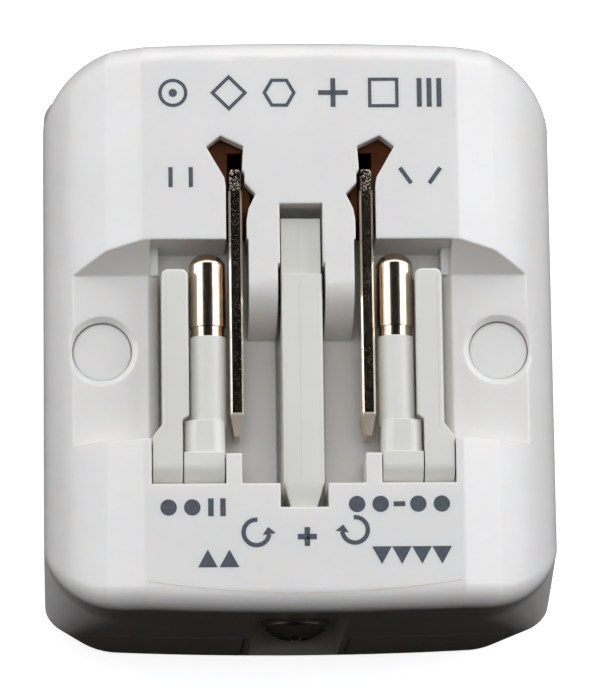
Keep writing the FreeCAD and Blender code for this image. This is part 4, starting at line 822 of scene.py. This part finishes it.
@dataclass
class FaceMarks:
    """Generic marks printed on the plug face, and the tool's witness line across it."""

    shop: Workshop
    ribbon: Ribbon
    outline_mm: float = 0.34
    pin_mm: float = 0.42
    bar_mm: float = 0.5
    thick_mm: float = 0.55
    row_y_mm: float = 23.55
    row_height_mm: float = 3.0
    row_x_mm: tuple[float, ...] = (-12.8, -7.15, -2.05, 3.4, 8.5, 13.15)
    dot_mm: float = 0.82
    arrow_mm: Triple = (1.28, 0.44, 1.35)
    head_deg: float = 32
    triangle_mm: float = 1.75
    witness_mm: float = 0.09

    def build(self) -> None:
        """Make the printed marks and the witness line."""
        marks = {
            "marks_row": self._row(),
            "marks_pin_shapes": self._pin_shapes(),
            "marks_turning_arrows": self._arrows(),
            "marks_round_pins": self._dots_and_bars(),
            "marks_up_down": self._triangles(),
        }
        for name, meshes in marks.items():
            self.shop.add(name, joined_mesh(name, meshes), "casing", INK)
        self.shop.add("casing_witness_line", self._witness(), "casing", WITNESS)

    def _outline(self, points: np.ndarray) -> Mesh:
        """A closed outline with the print's stroke."""
        return self.ribbon.mesh("outline", points, self.outline_mm, True)

    def _bar(self, start: Pair, end: Pair, width: float) -> Mesh:
        """A straight bar between two points."""
        return self.ribbon.mesh("bar", np.array([start, end]), width)

    def _upright(self, x: float, y: float, half: float, width: float) -> Mesh:
        """A bar along Y about a point."""
        return self._bar((x, y - half), (x, y + half), width)

    def _cross(self, x: float, y: float, half: float, width: float) -> list[Mesh]:
        """A bar along X and one along Y about a point."""
        return [self._bar((x - half, y), (x + half, y), width), self._upright(x, y, half, width)]

    def _dot(self, centre: Pair, radius: float) -> Mesh:
        """A filled disc: a ring so wide that it all but closes at its centre."""
        width = radius * 0.998
        return self.ribbon.mesh("dot", circle_points(centre, radius / 2), width, True)

    def _polygon(self, centre: Pair, radius: float, corners: int, turn: float) -> Mesh:
        """Outline of a regular polygon, with its first corner at the given turn in degrees."""
        last = turn + 360 * (corners - 1) / corners
        return self._outline(arc_points(centre, radius, turn, last, corners))

    def _row(self) -> list[Mesh]:
        """Six plain figures in a row: ring, diamond, hexagon, cross, square and bars."""
        y, r = self.row_y_mm, self.row_height_mm / 2
        ring, diamond, hexagon, cross, square, bars = self.row_x_mm
        ring_r, centre_r, diamond_r, square_r = r - 0.2, 0.42, r + 0.15, r * 1.3
        return [
            self._outline(circle_points((ring, y), ring_r)),
            self._dot((ring, y), centre_r),
            self._polygon((diamond, y), diamond_r, 4, 90),
            self._polygon((hexagon, y), r, 6, 0),
            *self._cross(cross, y, r, self.bar_mm),
            self._polygon((square, y), square_r, 4, 45),
            *[self._upright(bars + shift, y, r, self.bar_mm) for shift in (-1.0, 0.0, 1.0)],
        ]

    def _pin_shapes(self) -> list[Mesh]:
        """Straight flat pins beside the left slot and splayed flat pins beside the right one."""
        low, high, splayed_low, splayed_high = 13.77, 15.84, 14.1, 15.72
        straight = [((x, low), (x, high)) for x in (-13.1, -11.06)]
        splayed = [((x, splayed_high), (foot, splayed_low)) for x, foot in ((10.05, 11.18), (14.15, 13.0))]
        return [self._bar(start, end, self.pin_mm) for start, end in straight + splayed]

    def _arrows(self) -> list[Mesh]:
        """Two three-quarter rings with arrow heads, and a plain cross between them."""
        radius, stroke, head = self.arrow_mm
        point_mm, ring_points = 0.05, 40
        meshes = []
        for centre, start, end in (((-4.85, -21.45), 85, 352), ((4.95, -21.25), 95, -172)):
            ring = arc_points(centre, radius, start, end, ring_points)
            meshes.append(self.ribbon.mesh("ring", ring, stroke))
            tip = arc_points(centre, radius, end, end + math.copysign(self.head_deg, end - start), 2)
            meshes.append(self.ribbon.mesh("head", tip, np.array([head, point_mm])))
        return meshes + self._cross(0.2, -21.9, 0.95, self.thick_mm)

    def _dots_and_bars(self) -> list[Mesh]:
        """Rows of round-pin and bar figures, as long as the words that such an adapter has there."""
        left_y, right_y, half = -18.9, -18.65, 0.9
        return [
            *[self._dot((x, left_y), self.dot_mm) for x in (-13.55, -11.2)],
            *[self._upright(x, left_y, half, self.thick_mm) for x in (-9.35, -8.15)],
            *[self._dot((x, right_y), self.dot_mm) for x in (5.2, 7.55, 11.3, 13.65)],
            self._bar((8.85, right_y), (10.0, right_y), self.bar_mm),
        ]

    def _triangle(self, centre: Pair, way: Direction) -> Mesh:
        """A filled triangle: a strip that narrows from its full width to a point."""
        foot_mm, point_mm = self.triangle_mm * 1.12, 0.04
        half = self.triangle_mm / 2 * way.value
        path = np.array([(centre[0], centre[1] - half), (centre[0], centre[1] + half)])
        return self.ribbon.mesh("triangle", path, np.array([foot_mm, point_mm]))

    def _triangles(self) -> list[Mesh]:
        """Triangles that point up on the left and down on the right."""
        meshes = [self._triangle((x, -24.05), Direction.UP) for x in (-9.7, -7.55)]
        return meshes + [self._triangle((x, -23.8), Direction.DOWN) for x in (7.6, 9.6, 11.6, 13.6)]

    def _witness(self) -> Mesh:
        """The long shallow arc near the end wall, as y = -27.5 + 1.25 (x / 16)^2."""
        low_mm, rise_mm, half_mm, reach_mm, count = -27.5, 1.25, 16, 15.9, 90
        x = np.linspace(-reach_mm, reach_mm, count)
        path = np.stack([x, low_mm + rise_mm * (x / half_mm) ** 2], axis=-1)
        thin = Ribbon(self.ribbon.surface, proud_mm=0.004, sunk_mm=0.02)
        return thin.mesh("casing_witness_line", path, self.witness_mm)


@dataclass
class FoldingPins:
    """Round pins, their sleeves, the guide bars, the earth pin and the mould lines on them."""

    shop: Workshop
    tip_y_mm: float = 7.35
    metal_mm: float = 8.7
    neck_mm: float = 1.0
    pin_r_mm: float = 1.85
    neck_r_mm: float = 1.7
    core_r_mm: float = 1.3
    core_start_mm: float = 1.0
    dome_mm: float = 1.2
    faces_round: int = 72
    edge_mm: float = 0.16
    earth_edge_mm: float = 0.25
    line_mm: float = 0.07

    def build(self) -> None:
        """Make and dress every piece."""
        for side in Side:
            self._round_pin(side)
            for node in ("pin_sleeve", "guide_bar"):
                self.shop.softened(side.prefix + node, PIN_PLASTIC, self.edge_mm)
            self.shop.dress(side.prefix + "pin_axle", SCREW_STEEL)
            guide_x = side.value * 13.62
            self._mould_line(side.prefix + "guide_bar", x_mm=guide_x, span_mm=(-11.0, 4.9), count=12)
        self.shop.softened("earth_pin", PIN_PLASTIC, self.earth_edge_mm)
        self.shop.dress("earth_axle", SCREW_STEEL)
        self._mould_line("earth_pin", x_mm=-0.25, span_mm=(-15.9, 10.4), count=30)

    def _profile(self) -> np.ndarray:
        """The turned pin: core, neck with a small step, then the bare end with a domed tip.

        The dome is a cap of a ball whose radius is (r^2 + h^2) / 2h for a pin of radius r and a
        cap of height h, so it meets the shank at a soft crease.

        Returns:
            Rows of (y, r), in millimetres.
        """
        chamfer, shank_end, ease, ease_depth = 0.05, 0.12, 0.04, 0.005
        dome_share, dome_count = 0.96, 16
        foot = self.tip_y_mm - self.metal_mm
        core_end = PIN_HINGE_MM[0] + self.core_start_mm
        shoulder = foot + self.neck_mm
        ball = (self.pin_r_mm ** 2 + self.dome_mm ** 2) / (2 * self.dome_mm)
        angle = np.linspace(math.asin(self.pin_r_mm / ball) * dome_share, 0, dome_count)
        dome = zip(self.tip_y_mm - ball + ball * np.cos(angle), ball * np.sin(angle))
        rim = self.tip_y_mm - self.dome_mm
        return np.array([
            (core_end, 0.0), (core_end, self.core_r_mm), (foot, self.core_r_mm), (foot, self.neck_r_mm),
            (shoulder, self.neck_r_mm), (shoulder, self.pin_r_mm - chamfer),
            (shoulder + chamfer, self.pin_r_mm), (rim - shank_end, self.pin_r_mm),
            (rim - ease, self.pin_r_mm - ease_depth), *dome,
        ])

    def _round_pin(self, side: Side) -> None:
        """Turn one round pin."""
        node = side.prefix + "round_pin"
        name = node + "_turned"
        centre = (side.value * PIN_X_MM, PIN_HINGE_MM[1])
        mesh = turned(name, self._profile(), centre, self.faces_round)
        self.shop.add(name, mesh, self.shop.body(node), PIN_METAL, (node,))

    def _mould_line(self, node: str, x_mm: float, span_mm: Pair, count: int) -> None:
        """Lay the tool's line along a moulded bar.

        Args:
            node: the bar's CAD node.
            x_mm: where the line runs.
            span_mm: Y of its two ends.
            count: points along it.
        """
        ribbon = Ribbon(Surface.of(self.shop.frame, node), proud_mm=0.008, sunk_mm=0.05)
        path = np.array([(x_mm, y) for y in np.linspace(*span_mm, count)])
        mesh = ribbon.mesh(node + "_line", path, self.line_mm)
        self.shop.add(node + "_line", mesh, self.shop.body(node), PIN_WITNESS)


@dataclass
class Blades:
    """The flat blades and the stems that carry them."""

    shop: Workshop
    edge_mm: float = 0.08
    web_centre_mm: Triple = (6.6, 18.775, 33.18)
    web_size_mm: Triple = (1.7, 1.8, 0.6)

    def build(self) -> None:
        """Make and dress every piece."""
        for side in Side:
            self.shop.softened(side.prefix + "flat_blade", BLADE_METAL, self.edge_mm)
            stem = self.shop.softened(side.prefix + "blade_stem", STEM_METAL, self.edge_mm)
            self._web(stem, side)
            for node in ("blade_pivot", "stem_washer"):
                self.shop.dress(side.prefix + node, SCREW_STEEL)

    def _web(self, stem: Object, side: Side) -> None:
        """Join the stem's two wings behind the tang's swing by a thin web, as the slot's far end shows."""
        x, y, z = self.web_centre_mm
        place = Matrix.Translation(Vector((side.value * x, y, z)) * MM)
        size = Matrix.Diagonal((*[v * MM for v in self.web_size_mm], 1.0))
        work = bmesh.new()
        work.from_mesh(stem.data)
        bmesh.ops.create_cube(work, size=1.0, matrix=place @ size)
        work.to_mesh(stem.data)
        work.free()


@dataclass
class Innards:
    """What lies inside: carrier, cover, contacts, shutter, springs and screws."""

    shop: Workshop
    edge_mm: float = 0.12
    shutter_travel_mm: float = 8.6

    def build(self) -> None:
        """Make and dress every piece."""
        for node in ("contact_carrier", "carrier_cover"):
            self.shop.softened(node, CARRIER_PLASTIC, self.edge_mm)
        self.shop.softened("shutter", SHUTTER_PLASTIC, self.edge_mm)
        for node in ("carrier_screws", "casing_screws"):
            self.shop.dress(node, SCREW_STEEL)
        self.shop.dress("contact_rivets", CONTACT_BRASS)
        for side in Side:
            self.shop.dress(side.prefix + "busbar", CONTACT_BRASS)
            for node in ("socket_contact", "pin_contact"):
                self.shop.dress(side.prefix + node, CONTACT_BRONZE)
            self._spring(side)

    def _spring(self, side: Side) -> None:
        """Stand in for a shutter spring with a smooth-shaded copy of its mesh.
        """
        node = side.prefix + "shutter_spring"
        mesh = self.shop.frame["nodes"][node].data.copy()
        mesh.shade_smooth()
        piece = self.shop.add(node + "_wound", mesh, self.shop.body(node), SPRING_STEEL, (node,))
        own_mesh(piece)


@dataclass(frozen=True)
class Panel:
    """A flat thing of the studio: a sheet, a card or a softbox, in metres.

    Attributes:
        name: its name.
        place: its centre.
        facing: the way it faces or shines.
        size: its width and height.
    """

    name: str
    place: Triple
    facing: Triple
    size: Pair

    def matrix(self, axis: str) -> Matrix:
        """Where it stands, with the named axis of its own turned the way it faces."""
        turn = Vector(self.facing).to_track_quat(axis, "Y").to_matrix().to_4x4()
        return Matrix.Translation(self.place) @ turn


DOWN, UP, FAR_WAY = (0.0, 0.0, -1.0), (0.0, 0.0, 1.0), (0.0, 1.0, 0.0)
FLOOR = Panel("floor", place=(0.0, 0.0, 0.0), facing=UP, size=(6.0, 6.0))
CEILING_CARD = Panel("ceiling_card", place=(0.0, -0.2, 0.9), facing=DOWN, size=(1.16, 2.0))
NEAR_CARD = Panel("near_card", place=(0.0, -0.7, 0.35), facing=FAR_WAY, size=(1.6, 0.9))
FOOT_CARD = Panel("foot_card", place=(0.0, 0.0, 0.0002), facing=UP, size=(1.2, 1.6))
RIGHT_BOX = Panel("softbox", place=(0.45, 0.26, 0.265), facing=(-0.84, 0.0, -0.54), size=(0.58, 0.557))
BACK_BOX = Panel("back_softbox", place=(0.0, 0.62, 0.5), facing=(0.0, -0.79, -0.61), size=(0.9, 0.4))
FILL_BOX = Panel("overhead_fill", place=(0.0, 0.02, 0.7), facing=(0.0, -0.03, -1.0), size=(0.5, 0.3))


@dataclass
class Studio:
    """The pale floor, the soft lamps, the dark cards and the camera at the photograph's view.

    The adapter is lit by a tall softbox on each side, a smaller one beyond its far end and a dim one
    overhead, which metal doesn't mirror. Dark cards overhead, before the near end and round its foot
    leave the broad dark bands that the photograph shows in the blades, the pins and the end wall.
    """

    target_mm: Triple = (-0.532, -3.0, 36.0)
    distance_mm: float = 480.0
    tilt_deg: float = 11.285
    swing_deg: float = 2.582
    roll_deg: float = -0.758
    lens_mm: float = 246.66
    sensor_mm: float = 36.0
    clip_m: Pair = (0.01, 20)
    side_lamp_w: float = 2.45
    side_bias: float = 0.12
    back_lamp_w: float = 1.55
    fill_w: float = 1.85
    world_level: float = 0.06
    lamp_tint: str = "F5F9FF"
    room_tint: str = "FFE2C4"
    paper: str = "D8D8D8"
    paper_glow: float = 0.86
    felt: str = "2A2724"

    def build(self) -> None:
        """Make the floor, cards, lamps, world and camera."""
        self._floor()
        self._card(CEILING_CARD, shades=True)
        self._card(NEAR_CARD, shades=True)
        self._card(FOOT_CARD, shades=False)
        self._world()
        for side in Side:
            box = Panel(
                side.prefix + RIGHT_BOX.name,
                (side.value * RIGHT_BOX.place[0], *RIGHT_BOX.place[1:]),
                (side.value * RIGHT_BOX.facing[0], *RIGHT_BOX.facing[1:]),
                RIGHT_BOX.size,
            )
            self._lamp(box, self.side_lamp_w * (1 + side.value * self.side_bias))
        self._lamp(BACK_BOX, self.back_lamp_w)
        fill = self._lamp(FILL_BOX, self.fill_w)
        fill.visible_glossy = False
        self._camera()

    def _sheet(self, panel: Panel, material: Material) -> Object:
        """Put up a flat sheet.

        Args:
            panel: its name, place and size.
            material: its material.

        Returns:
            The sheet, marked as part of the stage.
        """
        half_w, half_h = panel.size[0] / 2, panel.size[1] / 2
        corners = [(-half_w, -half_h, 0), (half_w, -half_h, 0), (half_w, half_h, 0), (-half_w, half_h, 0)]
        mesh = bpy.data.meshes.new(panel.name)
        mesh.from_pydata(corners, [], [(0, 1, 2, 3)])
        mesh.materials.append(material)
        sheet = placed(panel.name, mesh)
        sheet.matrix_world = panel.matrix("Z")
        return sheet

    def _seen(self, tree: NodeTree) -> NodeSocket:
        """Tell camera, glossy and transmitted rays, which meet the white background, from the rest."""
        rays = add_node(tree, "LightPath").outputs
        seen = rays["Is Camera Ray"]
        for ray in ("Is Glossy Ray", "Is Transmission Ray"):
            either = add_node(tree, "Math", {"operation": "MAXIMUM"}, {0: seen, 1: rays[ray]})
            seen = either.outputs["Value"]
        return seen

    def _floor(self) -> None:
        """A large sheet of paper under the adapter, which keeps its shadow and shows white."""
        material, tree = new_material("floor_paper")
        paper = add_node(tree, "BsdfDiffuse", {"Color": linear(self.paper)}).outputs["BSDF"]
        glow = add_node(tree, "Emission", {"Strength": self.paper_glow})
        lit = add_node(tree, "AddShader", {}, {0: paper, 1: glow.outputs["Emission"]})
        mix = add_node(tree, "MixShader", {}, {0: self._seen(tree), 1: paper, 2: lit.outputs["Shader"]})
        add_node(tree, "OutputMaterial", {}, {"Surface": mix.outputs["Shader"]})
        self._sheet(FLOOR, material)

    def _card(self, panel: Panel, shades: bool) -> None:
        """Put up a dark card that only the adapter sees.

        Args:
            panel: its name, place and size.
            shades: whether it also holds back light.
        """
        material, tree = new_material(panel.name + "_felt")
        felt = add_node(tree, "BsdfDiffuse", {"Color": linear(self.felt)})
        add_node(tree, "OutputMaterial", {}, {"Surface": felt.outputs["BSDF"]})
        card = self._sheet(panel, material)
        card.visible_camera = False
        card.visible_shadow = shades

    def _world(self) -> None:
        """A dim warm room, white where the camera, metal or glass sees it."""
        world = bpy.data.worlds.new("studio")
        bpy.context.scene.world = world
        world.use_nodes = True
        tree = world.node_tree
        tree.nodes.clear()
        seen = self._seen(tree)
        level = add_node(tree, "MapRange", {"To Min": self.world_level, "To Max": 1.0}, {"Value": seen})
        tint = add_node(
            tree, "Mix",
            {"data_type": "RGBA", COLOUR_A: linear(self.room_tint), COLOUR_B: linear("FFFFFF")},
            {0: seen},
        )
        light = add_node(
            tree, "Background", {},
            {"Color": tint.outputs[COLOUR_OUT], "Strength": level.outputs["Result"]},
        )
        add_node(tree, "OutputWorld", {}, {"Surface": light.outputs["Background"]})

    def _lamp(self, panel: Panel, power: float) -> Object:
        """Hang a rectangular softbox.

        Args:
            panel: its name, place and size.
            power: its power in watts.

        Returns:
            The lamp's object.
        """
        lamp = bpy.data.lights.new(panel.name, "AREA")
        lamp.shape = "RECTANGLE"
        lamp.size, lamp.size_y = panel.size
        lamp.color = linear(self.lamp_tint)[:3]
        lamp.energy = power
        holder = placed(panel.name, lamp)
        holder.matrix_world = panel.matrix("-Z")
        return holder

    def _camera(self) -> None:
        """Set the camera on the photograph's line of sight, turned and rolled as it was."""
        tilt, swing, roll = (math.radians(v) for v in (self.tilt_deg, self.swing_deg, self.roll_deg))
        back = Vector((
            -math.sin(swing) * math.cos(tilt), -math.sin(tilt), math.cos(tilt) * math.cos(swing)
        )).normalized()
        right = (-back).cross(Vector((0, 1, 0))).normalized()
        up = right.cross(-back)
        right, up = (
            right * math.cos(roll) + up * math.sin(roll), up * math.cos(roll) - right * math.sin(roll)
        )
        camera = bpy.data.cameras.new("camera")
        camera.sensor_fit = "VERTICAL"
        camera.sensor_height = self.sensor_mm
        camera.lens = self.lens_mm
        camera.clip_start, camera.clip_end = self.clip_m
        holder = placed("camera", camera)
        turn = Matrix((right, up, back)).transposed().to_4x4()
        place = (Vector(self.target_mm) + back * self.distance_mm) * MM
        holder.matrix_world = Matrix.Translation(place) @ turn
        bpy.context.scene.camera = holder


def main() -> None:
    """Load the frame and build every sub-assembly."""
    logging.basicConfig(level=logging.INFO, format="%(message)s")
    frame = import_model()
    bpy.context.scene.view_settings.view_transform = "Standard"
    shop = Workshop(frame, {finish.name: finish.build() for finish in FINISHES})
    Casings(shop).build()
    FaceMarks(shop, Ribbon(Surface.of(frame, "plug_casing"))).build()
    FoldingPins(shop).build()
    Blades(shop).build()
    Innards(shop).build()
    Studio().build()


if __name__ == "__main__":
    main()
